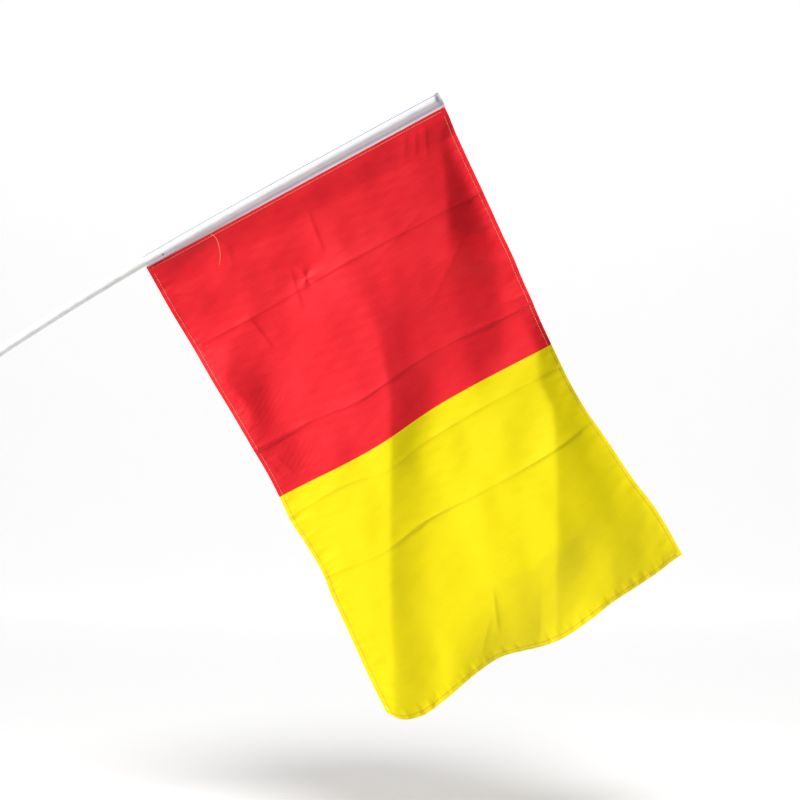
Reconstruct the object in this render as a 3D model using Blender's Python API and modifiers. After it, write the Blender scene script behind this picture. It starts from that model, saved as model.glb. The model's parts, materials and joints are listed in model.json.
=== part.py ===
"""Hand-waving flag: a two-colour cloth sewn to a sleeve on a slim plastic stick.

Everything is laid out in the seam frame: X runs along the sewn seam from the sleeve's mouth to the tip,
Z points from the cloth to the stick, and -Y is the flag's front. The seam frame is tilted in the world so
that the cloth hangs as it does when the flag is held out, and the world's origin is the middle of the grip.
"""

import math

import bmesh
import bpy
from mathutils import Euler, Vector

# ---- driving dimensions, in metres and degrees ----
HOIST = 0.305
FLY = 0.462
COLOUR_LINE = 0.237
CLOTH_THICKNESS = 0.0004
SEAM_TILT = 28.4

STICK_LENGTH = 0.600
STICK_RADIUS = 0.0039
STICK_WALL = 0.001
BOW_TURN = 5.6
BOW_LENGTH = 0.464
BOW_POWER = 2.2
MOUTH_BAND = 0.0011
GRIP_FROM_BUTT = 0.060

SLEEVE_WALL = 0.0003
SLEEVE_CLEARANCE = 0.0003
SLEEVE_PAST_CAP = 0.006
SLEEVE_FLAT_RUN = 0.0018
SLEEVE_END_DEPTH = 0.00045
SLEEVE_END_FLARE = 0.0008
FLANGE_HALF_GAP = 0.00030

CAP_HEAD = 0.0012
CAP_SPIGOT_LENGTH = 0.008
CAP_EDGE = 0.0006
PLUG_CLEARANCE = 0.0003

TACK_FROM_MOUTH = 0.0175
TACK_LEAN = 42.0
TACK_HEAD_RADIUS = 0.00095
TACK_HEAD_HEIGHT = 0.0005
TACK_SHANK_RADIUS = 0.00045
TACK_PAST_WALL = 0.0006
TACK_CLEARANCE = 0.0003

THREAD_RADIUS = 0.0002
LOOSE_THREAD_RADIUS = 0.00025
THREAD_CLEARANCE = 0.0005
HEM_STITCH_INSET = 0.0038
SEAM_STITCH_DROP = 0.0027
END_STITCH_INSET = 0.0009

SEAM_HINGE_GAP = 0.0006
FOLD_HINGE_GAP = 0.0009
FOLD_THREAD_GAP = 0.0052

PINCH_OUTER = 0.018
PINCH_INNER = 0.007
RED_DEPTH = 0.008
YELLOW_DEPTH = 0.013
FOLD_PITCH = 0.150
FOLD_PHASE = 1.86
HEM_WAVE = 0.006

# ---- mesh fineness ----
STICK_STEP = 0.025
STICK_SIDES_RESOLUTION = 6
PANEL_COLUMNS = 32
PANEL_ROWS = 18
THREAD_STEP = 0.009
SLEEVE_STATIONS = 13
SLEEVE_ARC_STEPS = 18
TURNED_STEPS = 24

# The loose thread end's own points in the seam frame, in metres, from the seam down over the red.
LOOSE_THREAD_ROUTE = [
    (0.0637, -0.00095, -0.0014),
    (0.0650, -0.00155, -0.0026),
    (0.0659, -0.00180, -0.0043),
    (0.0664, -0.00190, -0.0062),
    (0.0665, -0.00190, -0.0082),
    (0.0663, -0.00190, -0.0103),
    (0.0658, -0.00190, -0.0124),
    (0.0653, -0.00195, -0.0144),
    (0.0646, -0.00200, -0.0165),
    (0.0639, -0.00205, -0.0185),
    (0.0631, -0.00210, -0.0205),
    (0.0622, -0.00220, -0.0225),
    (0.0611, -0.00235, -0.0244),
    (0.0600, -0.00260, -0.0261),
    (0.0588, -0.00295, -0.0277),
    (0.0577, -0.00340, -0.0290),
]
LOOSE_THREAD_SUBDIVISIONS = 2

OBJECT_NAME = "hand_flag"


# ---- scene helpers ----
def clear_scene():
    """Removes what a new Blender file starts with."""
    for thing in list(bpy.data.objects):
        bpy.data.objects.remove(thing)


def new_collection(name):
    """Adds a collection to the scene."""
    group = bpy.data.collections.new(name)
    bpy.context.scene.collection.children.link(group)
    return group


def finish_material(name, colour, roughness, metallic=0.0):
    """A Principled material of one colour."""
    made = bpy.data.materials.new(name)
    made.use_nodes = True
    shader = made.node_tree.nodes["Principled BSDF"]
    shader.inputs["Base Color"].default_value = (*colour, 1.0)
    shader.inputs["Roughness"].default_value = roughness
    shader.inputs["Metallic"].default_value = metallic
    return made


def add_empty(group, name, location, tilt=0.0, parent=None):
    """An empty that holds a frame: pieces are parented to it."""
    empty = bpy.data.objects.new(name, None)
    empty.empty_display_size = 0.02
    empty.location = location
    empty.rotation_euler = (0.0, tilt, 0.0)
    empty.parent = parent
    group.objects.link(empty)
    return empty


def add_mesh_object(group, name, bm, material, parent):
    """Turns a bmesh into a named object under its frame."""
    mesh = bpy.data.meshes.new(name)
    bm.to_mesh(mesh)
    bm.free()
    mesh.materials.append(material)
    made = bpy.data.objects.new(name, mesh)
    made.parent = parent
    group.objects.link(made)
    return made


def shade_round(thing, angle=40.0):
    """Smooth shading that keeps the sharp edges."""
    thing.data.shade_smooth()
    thing.data.set_sharp_from_angle(angle=math.radians(angle))


def add_wire(group, name, points, radius, material, parent, sides_resolution=2):
    """A round wire through the points: a POLY curve with filled caps."""
    curve = bpy.data.curves.new(name, "CURVE")
    curve.dimensions = "3D"
    curve.bevel_depth = radius
    curve.bevel_resolution = sides_resolution
    curve.use_fill_caps = True
    curve.render_resolution_u = 0
    spline = curve.splines.new("POLY")
    spline.points.add(len(points) - 1)
    for target, point in zip(spline.points, points):
        target.co = (*point, 1.0)
    spline.use_smooth = True
    curve.materials.append(material)
    made = bpy.data.objects.new(name, curve)
    made.parent = parent
    group.objects.link(made)
    return made


def turned_piece(group, name, profile, material, parent, location, direction):
    """A turned piece: its profile (radius, height) runs from the top centre to the bottom centre."""
    mesh = bpy.data.meshes.new(name)
    edges = [(i, i + 1) for i in range(len(profile) - 1)]
    mesh.from_pydata([(radius, 0.0, height) for radius, height in profile], edges, [])
    mesh.materials.append(material)
    made = bpy.data.objects.new(name, mesh)
    made.parent = parent
    made.location = location
    made.rotation_euler = direction.to_track_quat("Z", "Y").to_euler()
    group.objects.link(made)
    turn = made.modifiers.new("turn", "SCREW")
    turn.axis = "Z"
    turn.steps = TURNED_STEPS
    turn.render_steps = TURNED_STEPS
    turn.use_merge_vertices = True
    turn.merge_threshold = 0.00001
    turn.use_smooth_shade = False
    return made


def drill(thing, cutter):
    """Cuts a hole in a piece with a hidden cutter."""
    cut = thing.modifiers.new("hole", "BOOLEAN")
    cut.operation = "DIFFERENCE"
    cut.solver = "EXACT"
    cut.object = cutter


# ---- the stick's line ----
def stick_heading(distance):
    """Angle between stick and seam at a distance from the tip: it grows smoothly towards the hand."""
    share = min(distance, BOW_LENGTH) / BOW_LENGTH
    return math.radians(BOW_TURN) * share**BOW_POWER


def stick_line():
    """Points of the stick's axis in the seam frame, from the tube's tip end to its butt end.

    The line is raised so that the flat band under the sleeve has its own width at the sleeve's mouth.
    """
    cap_room = CAP_HEAD + PLUG_CLEARANCE
    tube_length = STICK_LENGTH - 2 * cap_room
    steps = math.ceil(tube_length / STICK_STEP)
    step = tube_length / steps
    x = HOIST - SLEEVE_PAST_CAP - cap_room
    z = 0.0
    points = [(x, 0.0, z)]
    for i in range(steps):
        angle = stick_heading((i + 0.5) * step)
        x -= math.cos(angle) * step
        z -= math.sin(angle) * step
        points.append((x, 0.0, z))
    sleeve_radius = STICK_RADIUS + SLEEVE_CLEARANCE + SLEEVE_WALL
    rise = MOUTH_BAND + sleeve_radius - axis_height(points, 0.0)
    return [(x, y, z + rise) for x, y, z in points]


def point_along(points, distance):
    """The point at a distance along a line of points."""
    for start, end in zip(points, points[1:]):
        length = math.dist(start, end)
        if distance <= length:
            share = distance / length
            return tuple(a + (b - a) * share for a, b in zip(start, end))
        distance -= length
    return points[-1]


def axis_height(points, x):
    """Height of the stick's axis over the seam at x; past the tip it stays level."""
    if x >= points[0][0]:
        return points[0][2]
    for start, end in zip(points, points[1:]):
        if x >= end[0]:
            share = (start[0] - x) / (start[0] - end[0])
            return start[2] + (end[2] - start[2]) * share
    return points[-1][2]


# ---- the cloth's form ----
def cloth_point(along, down):
    """A point of the cloth's middle surface in the seam frame.

    along is the distance from the inner edge, down the distance below the seam. The side edges draw in a
    little at mid fly, and soft folds run straight down in the world, so they slant across the cloth. The
    folds are flat at the seam and at the colour line, which are the two hinge lines.
    """
    waist = math.sin(math.pi * min(down / FLY, 1.0)) ** 2
    inner = PINCH_INNER * waist
    outer = HOIST - PINCH_OUTER * waist
    x = inner + (outer - inner) * along / HOIST
    tilt = math.radians(SEAM_TILT)
    sideways = along * math.cos(tilt) + down * math.sin(tilt)
    turn = 2 * math.pi * sideways / FOLD_PITCH + FOLD_PHASE
    if down < COLOUR_LINE:
        depth = RED_DEPTH * math.sin(math.pi * down / COLOUR_LINE) ** 2
        wave = 0.0
    else:
        share = (down - COLOUR_LINE) / (FLY - COLOUR_LINE)
        depth = YELLOW_DEPTH * share
        wave = HEM_WAVE * share**2 * math.cos(turn)
    return (x, depth * math.sin(turn), -down - wave)


def cloth_panel(group, name, start, end, material, parent, offset):
    """Half of the cloth: a grid laid on the cloth's form and given its thickness."""
    bm = bmesh.new()
    bmesh.ops.create_grid(bm, x_segments=PANEL_COLUMNS, y_segments=PANEL_ROWS, size=0.5)
    for vertex in bm.verts:
        along = (vertex.co.x + 0.5) * HOIST
        down = end + (start - end) * (vertex.co.y + 0.5)
        x, y, z = cloth_point(along, down)
        vertex.co = (x, y, z - offset)
    panel = add_mesh_object(group, name, bm, material, parent)
    thicken = panel.modifiers.new("thickness", "SOLIDIFY")
    thicken.thickness = CLOTH_THICKNESS
    thicken.offset = 0.0
    thicken.use_even_offset = True
    shade_round(panel)
    return panel


def stitch_row(group, name, start, end, material, parent, offset):
    """A row of sewing thread on the cloth's front, between two (along, down) places."""
    count = max(2, math.ceil(math.dist(start, end) / THREAD_STEP) + 1)
    stand_off = CLOTH_THICKNESS / 2 + THREAD_CLEARANCE + THREAD_RADIUS
    points = []
    for i in range(count):
        share = i / (count - 1)
        x, y, z = cloth_point(*(a + (b - a) * share for a, b in zip(start, end)))
        points.append((x, y - stand_off, z - offset))
    return add_wire(group, name, points, THREAD_RADIUS, material, parent, sides_resolution=1)


# ---- the sleeve ----
def sleeve_section(height, half_depth, half_height):
    """The sleeve's wall line at one station, as (y, z): up the front, round the stick, down the back."""
    neck = math.asin(min(FLANGE_HALF_GAP / half_depth, 1.0))
    points = [(-FLANGE_HALF_GAP, 0.0)]
    for i in range(SLEEVE_ARC_STEPS + 1):
        angle = neck + (2 * math.pi - 2 * neck) * i / SLEEVE_ARC_STEPS
        points.append((-half_depth * math.sin(angle), height - half_height * math.cos(angle)))
    points.append((FLANGE_HALF_GAP, 0.0))
    return points


def sleeve_stations():
    """(x, half depth, half height) of the sleeve's wall line: round on the stick, pressed flat past it."""
    wall_radius = STICK_RADIUS + SLEEVE_CLEARANCE + SLEEVE_WALL / 2
    flat_start = HOIST - SLEEVE_FLAT_RUN
    round_end = HOIST - SLEEVE_PAST_CAP + SLEEVE_CLEARANCE
    flare = wall_radius + SLEEVE_END_FLARE
    stations = []
    for i in range(SLEEVE_STATIONS):
        stations.append((round_end * i / (SLEEVE_STATIONS - 1), wall_radius, wall_radius))
    stations.append(((round_end + flat_start) / 2, wall_radius * 0.62, (wall_radius + flare) / 2))
    stations.append((flat_start, SLEEVE_END_DEPTH, flare))
    stations.append((HOIST, SLEEVE_END_DEPTH, flare))
    return stations


def build_sleeve(group, material, parent, line):
    """The cloth sleeve: a loft of sections, because the flat band under the stick widens towards the tip."""
    bm = bmesh.new()
    rows = []
    for x, half_depth, half_height in sleeve_stations():
        section = sleeve_section(axis_height(line, x), half_depth, half_height)
        rows.append([bm.verts.new((x, y, z)) for y, z in section])
    for near, far in zip(rows, rows[1:]):
        for i in range(len(near) - 1):
            bm.faces.new((near[i], near[i + 1], far[i + 1], far[i]))
    bmesh.ops.recalc_face_normals(bm, faces=bm.faces)
    sleeve = add_mesh_object(group, "sleeve", bm, material, parent)
    thicken = sleeve.modifiers.new("thickness", "SOLIDIFY")
    thicken.thickness = SLEEVE_WALL
    thicken.offset = 0.0
    thicken.use_even_offset = True
    shade_round(sleeve, 50.0)
    return sleeve


# ---- the stick, its caps and the tack ----
def build_stick(group, material, parent, line):
    """The hollow plastic stick: an open bevelled curve, made a mesh and given its wall."""
    wall_line = STICK_RADIUS - STICK_WALL / 2
    wire = add_wire(group, "stick_line", line, wall_line, material, None, STICK_SIDES_RESOLUTION)
    wire.data.use_fill_caps = False
    bpy.context.view_layer.update()
    evaluated = wire.evaluated_get(bpy.context.evaluated_depsgraph_get())
    mesh = bpy.data.meshes.new_from_object(evaluated)
    bpy.data.objects.remove(wire)
    mesh.name = "stick_tube"
    tube = bpy.data.objects.new("stick_tube", mesh)
    tube.parent = parent
    group.objects.link(tube)
    thicken = tube.modifiers.new("wall", "SOLIDIFY")
    thicken.thickness = STICK_WALL
    thicken.offset = 0.0
    thicken.use_even_offset = True
    shade_round(tube, 50.0)
    return tube


def plug_profile():
    """Profile of an end plug: a disc with a rounded edge over a spigot; height 0 is the tube's end face."""
    spigot = STICK_RADIUS - STICK_WALL - PLUG_CLEARANCE
    under = PLUG_CLEARANCE
    top = under + CAP_HEAD
    lip = STICK_RADIUS - CAP_EDGE
    profile = [(0.0, top)]
    for i in range(5):
        angle = math.radians(90.0 * i / 4)
        profile.append((lip + CAP_EDGE * math.sin(angle), top - CAP_EDGE * (1 - math.cos(angle))))
    profile.append((STICK_RADIUS, under))
    profile.append((spigot, under))
    profile.append((spigot, -CAP_SPIGOT_LENGTH + CAP_EDGE))
    profile.append((spigot - CAP_EDGE, -CAP_SPIGOT_LENGTH))
    profile.append((0.0, -CAP_SPIGOT_LENGTH))
    return profile


def tack_profile():
    """Profile of the tack: a low domed head over a shank that reaches just through the stick's wall."""
    reach = SLEEVE_WALL + SLEEVE_CLEARANCE + STICK_WALL + TACK_CLEARANCE + TACK_PAST_WALL
    profile = [(0.0, TACK_HEAD_HEIGHT)]
    for i in range(1, 5):
        angle = math.radians(90.0 * i / 4)
        profile.append((TACK_HEAD_RADIUS * math.sin(angle), TACK_HEAD_HEIGHT * (0.4 + 0.6 * math.cos(angle))))
    profile.append((TACK_HEAD_RADIUS, 0.0))
    profile.append((TACK_SHANK_RADIUS, 0.0))
    profile.append((TACK_SHANK_RADIUS, TACK_SHANK_RADIUS - reach))
    profile.append((0.0, -reach))
    return profile


def build_tack(group, cutters, material, parent, line, sleeve, tube):
    """The tack, and its hole through the sleeve and one wall of the stick."""
    lean = math.radians(TACK_LEAN)
    outward = Vector((0.0, -math.cos(lean), -math.sin(lean)))
    centre = Vector((TACK_FROM_MOUTH, 0.0, axis_height(line, TACK_FROM_MOUTH)))
    seat = STICK_RADIUS + SLEEVE_CLEARANCE + SLEEVE_WALL + TACK_CLEARANCE
    turned_piece(group, "sleeve_tack", tack_profile(), material, parent, centre + outward * seat, outward)
    bore = TACK_SHANK_RADIUS + TACK_CLEARANCE
    inside = (STICK_RADIUS - STICK_WALL) / 2
    outside = seat + TACK_HEAD_HEIGHT
    bm = bmesh.new()
    bmesh.ops.create_cone(
        bm, cap_ends=True, segments=TURNED_STEPS, radius1=bore, radius2=bore, depth=outside - inside
    )
    cutter = add_mesh_object(cutters, "tack_hole_cutter", bm, material, parent)
    cutter.location = centre + outward * (inside + outside) / 2
    cutter.rotation_euler = outward.to_track_quat("Z", "Y").to_euler()
    cutter.hide_render = True
    cutter.display_type = "WIRE"
    drill(sleeve, cutter)
    drill(tube, cutter)


def smooth_route(points, subdivisions):
    """Points read from a smooth curve (Catmull-Rom) through a route's own points."""
    padded = [points[0], *points, points[-1]]
    smooth = []
    for quad in zip(padded, padded[1:], padded[2:], padded[3:]):
        before, start, end, after = (Vector(point) for point in quad)
        for i in range(subdivisions):
            t = i / subdivisions
            linear = (end - before) * t
            square = (2 * before - 5 * start + 4 * end - after) * t**2
            cube = (3 * start - before - 3 * end + after) * t**3
            smooth.append(tuple((2 * start + linear + square + cube) / 2))
    smooth.append(points[-1])
    return smooth


# ---- the whole flag ----
def build_flag():
    """Builds every piece of the flag in its frame."""
    parts = new_collection(OBJECT_NAME)
    cutters = new_collection(OBJECT_NAME + "_cutters")

    white_plastic = finish_material("white_plastic", (0.85, 0.87, 0.86), 0.35)
    cap_plastic = finish_material("cap_plastic", (0.80, 0.81, 0.80), 0.45)
    white_cloth = finish_material("white_cloth", (0.88, 0.88, 0.92), 0.85)
    red_cloth = finish_material("red_cloth", (0.78, 0.02, 0.03), 0.70)
    yellow_cloth = finish_material("yellow_cloth", (0.95, 0.85, 0.01), 0.70)
    orange_thread = finish_material("orange_thread", (0.90, 0.35, 0.08), 0.60)
    white_thread = finish_material("white_thread", (0.85, 0.85, 0.85), 0.60)
    steel = finish_material("steel", (0.35, 0.36, 0.40), 0.35, 1.0)

    line = stick_line()
    tilt = Euler((0.0, -math.radians(SEAM_TILT), 0.0))
    grip = Vector(point_along(line, STICK_LENGTH - CAP_HEAD - PLUG_CLEARANCE - GRIP_FROM_BUTT))
    grip_in_world = grip.copy()
    grip_in_world.rotate(tilt)

    seam_frame = add_empty(parts, "seam_frame", -grip_in_world, tilt.y)
    seam_hinge_drop = -SEAM_HINGE_GAP
    fold_hinge_drop = -COLOUR_LINE
    seam_hinge = add_empty(parts, "seam_hinge", (0.0, 0.0, seam_hinge_drop), parent=seam_frame)
    fold_hinge = add_empty(
        parts, "fold_hinge", (0.0, 0.0, fold_hinge_drop - seam_hinge_drop), parent=seam_hinge
    )

    tube = build_stick(parts, white_plastic, seam_frame, line)
    tip_direction = (Vector(line[0]) - Vector(line[1])).normalized()
    butt_direction = (Vector(line[-1]) - Vector(line[-2])).normalized()
    turned_piece(parts, "tip_cap", plug_profile(), cap_plastic, seam_frame, line[0], tip_direction)
    turned_piece(parts, "butt_cap", plug_profile(), cap_plastic, seam_frame, line[-1], butt_direction)
    sleeve = build_sleeve(parts, white_cloth, seam_frame, line)
    build_tack(parts, cutters, steel, seam_frame, line, sleeve, tube)

    end_x = HOIST - END_STITCH_INSET
    end_y = -(SLEEVE_END_DEPTH + SLEEVE_WALL / 2 + THREAD_CLEARANCE + THREAD_RADIUS)
    end_reach = STICK_RADIUS + SLEEVE_CLEARANCE
    end_z = line[0][2]
    end_row = [(end_x, end_y, end_z - end_reach), (end_x, end_y, end_z + end_reach)]
    add_wire(parts, "end_thread", end_row, THREAD_RADIUS, white_thread, seam_frame, 1)

    red_top = 2 * SEAM_HINGE_GAP
    red_bottom = COLOUR_LINE - FOLD_HINGE_GAP
    yellow_top = COLOUR_LINE + FOLD_HINGE_GAP
    cloth_panel(parts, "red_field", red_top, red_bottom, red_cloth, seam_hinge, seam_hinge_drop)
    cloth_panel(parts, "yellow_field", yellow_top, FLY, yellow_cloth, fold_hinge, fold_hinge_drop)

    inner_row = HEM_STITCH_INSET
    outer_row = HOIST - HEM_STITCH_INSET
    fly_row = FLY - HEM_STITCH_INSET
    side_top = SEAM_STITCH_DROP + 2 * THREAD_RADIUS + THREAD_CLEARANCE
    side_bottom = fly_row - 2 * THREAD_RADIUS - THREAD_CLEARANCE
    for side, place in (("inner", inner_row), ("outer", outer_row)):
        name = f"hem_thread_{side}"
        red_ends = ((place, side_top), (place, COLOUR_LINE - FOLD_THREAD_GAP))
        yellow_ends = ((place, COLOUR_LINE + FOLD_THREAD_GAP), (place, side_bottom))
        stitch_row(parts, f"{name}_red", *red_ends, orange_thread, seam_hinge, seam_hinge_drop)
        stitch_row(parts, f"{name}_yellow", *yellow_ends, orange_thread, fold_hinge, fold_hinge_drop)
    seam_ends = ((inner_row, SEAM_STITCH_DROP), (outer_row, SEAM_STITCH_DROP))
    stitch_row(parts, "seam_thread", *seam_ends, orange_thread, seam_hinge, seam_hinge_drop)
    fly_ends = ((inner_row, fly_row), (outer_row, fly_row))
    stitch_row(parts, "hem_thread_fly", *fly_ends, orange_thread, fold_hinge, fold_hinge_drop)

    route = smooth_route(LOOSE_THREAD_ROUTE, LOOSE_THREAD_SUBDIVISIONS)
    hinge_route = [(x, y, z - seam_hinge_drop) for x, y, z in route]
    add_wire(parts, "loose_thread", hinge_route, LOOSE_THREAD_RADIUS, orange_thread, seam_hinge)


clear_scene()
build_flag()
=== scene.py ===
"""Looks of the hand-waving flag: a red and yellow cloth sewn to a white sleeve on a slim plastic stick.

Lengths are in metres. Pieces are laid out in the seam frame, where X runs along the sewn seam from the
sleeve's mouth to the tip, Y points to the flag's back, and Z points from the cloth to the stick. The
seam frame is read from the model's swing joint.
"""

import json
import logging
import math
from dataclasses import dataclass
from enum import Enum

import bmesh
import bpy
import numpy as np
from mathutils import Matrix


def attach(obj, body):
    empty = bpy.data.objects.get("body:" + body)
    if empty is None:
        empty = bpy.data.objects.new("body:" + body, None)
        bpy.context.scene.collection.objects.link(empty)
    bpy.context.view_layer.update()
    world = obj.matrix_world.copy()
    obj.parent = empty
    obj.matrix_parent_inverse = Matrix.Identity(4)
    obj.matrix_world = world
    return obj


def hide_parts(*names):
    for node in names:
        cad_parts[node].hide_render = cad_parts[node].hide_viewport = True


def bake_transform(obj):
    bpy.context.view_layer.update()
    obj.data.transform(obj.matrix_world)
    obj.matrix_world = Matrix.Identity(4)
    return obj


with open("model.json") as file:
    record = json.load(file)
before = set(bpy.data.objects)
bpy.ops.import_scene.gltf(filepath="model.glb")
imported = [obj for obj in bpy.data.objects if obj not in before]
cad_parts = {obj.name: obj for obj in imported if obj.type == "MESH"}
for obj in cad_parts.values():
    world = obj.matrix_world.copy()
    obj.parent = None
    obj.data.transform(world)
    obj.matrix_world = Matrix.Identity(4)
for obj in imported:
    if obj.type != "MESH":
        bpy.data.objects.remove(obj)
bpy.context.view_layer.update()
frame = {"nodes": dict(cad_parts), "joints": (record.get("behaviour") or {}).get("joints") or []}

LOG = logging.getLogger("hand_flag")
MM = 0.001
POLE_GAP = 0.002 * MM
BACKWARD = np.array([0.0, 1.0, 0.0])
Curve = tuple[tuple[float, float], ...]
Socket = bpy.types.NodeSocket


# ---------------------------------------------------------------- shared maths
def linear(hex_colour: str) -> tuple[float, float, float, float]:
    """Turns an sRGB hex colour into the linear colour that a shader socket takes.

    Args:
        hex_colour: six hex digits, with or without a leading #.
    Returns:
        Linear red, green, blue and an alpha of one. A channel c is c/12.92 below 0.04045, and
        ((c + 0.055) / 1.055) to the power 2.4 above it.
    """
    digits = hex_colour.lstrip("#")
    channels = [int(digits[i : i + 2], 16) / 255 for i in (0, 2, 4)]
    red, green, blue = (c / 12.92 if c <= 0.04045 else ((c + 0.055) / 1.055) ** 2.4 for c in channels)
    return (red, green, blue, 1.0)


def smoothstep(value: np.ndarray, low: float, high: float) -> np.ndarray:
    """A smooth rise from 0 at low to 1 at high: 3t^2 - 2t^3 of the clamped share t."""
    t = np.clip((value - low) / (high - low), 0.0, 1.0)
    return t * t * (3 - 2 * t)


def bell(value: np.ndarray, centre: float, width: float) -> np.ndarray:
    """A Gaussian bump of height one: e to the power -((value - centre) / width)^2."""
    return np.exp(-(((value - centre) / width) ** 2))


def through(points: Curve, x: np.ndarray) -> np.ndarray:
    """A smooth curve through a few design points.

    Args:
        points: (x, y) pairs with rising x.
        x: where the curve is read; it stays level beyond the ends.
    Returns:
        Cubic Hermite values, with each point's slope taken from its two neighbours, and level ends.
    """
    xs, ys = np.array(points, float).T
    slopes = np.gradient(ys, xs)
    slopes[[0, -1]] = 0.0
    x = np.clip(np.asarray(x, float), xs[0], xs[-1])
    i = np.clip(np.searchsorted(xs, x, side="right") - 1, 0, len(xs) - 2)
    gap = xs[i + 1] - xs[i]
    t = (x - xs[i]) / gap
    rise = ys[i] * (2 * t**3 - 3 * t**2 + 1) + ys[i + 1] * (3 * t**2 - 2 * t**3)
    lean = slopes[i] * (t**3 - 2 * t**2 + t) + slopes[i + 1] * (t**3 - t**2)
    return rise + lean * gap


def smooth_noise(u: np.ndarray, v: np.ndarray, seed: int, waves: int = 14) -> np.ndarray:
    """Gentle repeatable unevenness of about unit height over the plane.

    Args:
        u, v: coordinates measured in the unevenness's own pitch.
        seed: picks the set of waves.
        waves: how many plane waves are added.
    Returns:
        The sum of plane waves of random heading, phase and a pitch of 0.6 to 1.7, over the root of half
        their number.
    """
    dice = np.random.default_rng(seed)
    total = np.zeros(np.broadcast(u, v).shape)
    for heading, phase, pitch in zip(
        dice.uniform(0, 2 * np.pi, waves), dice.uniform(0, 2 * np.pi, waves), dice.uniform(0.6, 1.7, waves)
    ):
        total += np.sin(2 * np.pi * (u * np.cos(heading) + v * np.sin(heading)) / pitch + phase)
    return total / np.sqrt(waves / 2)


# ---------------------------------------------------------------- shared mesh making
def grid_faces(rows: int, columns: int, start: int = 0, wrap: bool = False, turned: bool = False) -> np.ndarray:
    """Quads of a grid of vertices stored row by row.

    Args:
        rows, columns: the grid's size.
        start: index of its first vertex.
        wrap: the last column also joins the first one.
        turned: face the other way.
    Returns:
        An array of four vertex indices a face.
    """
    index = start + np.arange(rows * columns).reshape(rows, columns)
    if wrap:
        index = np.concatenate([index, index[:, :1]], axis=1)
    quads = np.stack([index[:-1, :-1], index[:-1, 1:], index[1:, 1:], index[1:, :-1]], axis=-1)
    quads = quads.reshape(-1, 4)
    return quads[:, ::-1] if turned else quads


@dataclass(frozen=True)
class MeshData:
    """Vertices, quads and per-vertex UVs of a piece, before it becomes an object."""

    vertices: np.ndarray
    faces: np.ndarray
    uv: np.ndarray
    sharp: np.ndarray | None = None

    def joined(self, *others: "MeshData") -> "MeshData":
        """This mesh and others as one."""
        parts = [self, *others]
        starts = np.cumsum([0] + [len(p.vertices) for p in parts[:-1]])
        flags = [np.zeros(len(p.vertices), bool) if p.sharp is None else p.sharp for p in parts]
        return MeshData(
            np.concatenate([p.vertices for p in parts]),
            np.concatenate([p.faces + s for p, s in zip(parts, starts)]),
            np.concatenate([p.uv for p in parts]),
            np.concatenate(flags),
        )


def make_piece(name: str, data: MeshData, material: bpy.types.Material) -> bpy.types.Object:
    """Puts mesh arrays into an object at the origin.

    Args:
        name: the piece's name.
        data: its arrays, in world metres.
        material: its finish.
    Returns:
        The new object, shaded smoothly but for the edges between two vertices flagged sharp.
    """
    mesh = bpy.data.meshes.new(name)
    count = len(data.faces)
    mesh.vertices.add(len(data.vertices))
    mesh.vertices.foreach_set("co", data.vertices.astype(np.float32).ravel())
    mesh.loops.add(count * 4)
    mesh.loops.foreach_set("vertex_index", data.faces.astype(np.int32).ravel())
    mesh.polygons.add(count)
    mesh.polygons.foreach_set("loop_start", np.arange(0, count * 4, 4, dtype=np.int32))
    layer = mesh.uv_layers.new(name="lay")
    layer.data.foreach_set("uv", data.uv[data.faces.ravel()].astype(np.float32).ravel())
    mesh.polygons.foreach_set("use_smooth", np.ones(count, bool))
    mesh.update(calc_edges=True)
    if data.sharp is not None and data.sharp.any():
        ends = np.empty(len(mesh.edges) * 2, np.int32)
        mesh.edges.foreach_get("vertices", ends)
        ends = ends.reshape(-1, 2)
        flags = data.sharp[ends[:, 0]] & data.sharp[ends[:, 1]]
        mesh.attributes.new("sharp_edge", "BOOLEAN", "EDGE").data.foreach_set("value", flags)
    mesh.validate()
    mesh.materials.append(material)
    made = bpy.data.objects.new(name, mesh)
    bpy.context.scene.collection.objects.link(made)
    return made


def mend(piece: bpy.types.Object, merge: bool = True) -> None:
    """Points a piece's faces outwards, after merging the coincident vertices at its poles if asked."""
    work = bmesh.new()
    work.from_mesh(piece.data)
    if merge:
        bmesh.ops.remove_doubles(work, verts=work.verts, dist=POLE_GAP)
    bmesh.ops.recalc_face_normals(work, faces=work.faces)
    work.to_mesh(piece.data)
    work.free()


def closed_sheet(front: np.ndarray, back: np.ndarray, uv: np.ndarray) -> MeshData:
    """A thin closed sheet between two grids of points.

    Args:
        front, back: (rows, columns, 3) grids. Seen from the front, rows run down and columns run right.
        uv: (rows, columns, 2) coordinates that both sides share.
    Returns:
        The front, the turned back and the four narrow edge walls, with the rim flagged sharp.
    """
    rows, columns = front.shape[:2]
    size = rows * columns
    index = np.arange(size).reshape(rows, columns)
    rim = np.concatenate([index[0, :], index[1:, -1], index[-1, -2::-1], index[-2:0:-1, 0]])
    after = np.roll(rim, -1)
    walls = np.stack([rim, rim + size, after + size, after], axis=-1)
    faces = np.concatenate(
        [grid_faces(rows, columns, turned=True), grid_faces(rows, columns, size), walls[:, ::-1]]
    )
    sharp = np.zeros(2 * size, bool)
    sharp[np.concatenate([rim, rim + size])] = True
    vertices = np.concatenate([front.reshape(-1, 3), back.reshape(-1, 3)])
    return MeshData(vertices, faces, np.tile(uv.reshape(-1, 2), (2, 1)), sharp)


def grid_mesh(points: np.ndarray, along: np.ndarray, across: np.ndarray, wrap: bool = True) -> MeshData:
    """A (rows, columns, 3) grid of points as a mesh, with UVs of two distances that broadcast over it."""
    uv = np.stack(np.broadcast_arrays(along, across), axis=-1)
    return MeshData(points.reshape(-1, 3), grid_faces(*points.shape[:2], wrap=wrap), uv.reshape(-1, 2))


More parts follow.
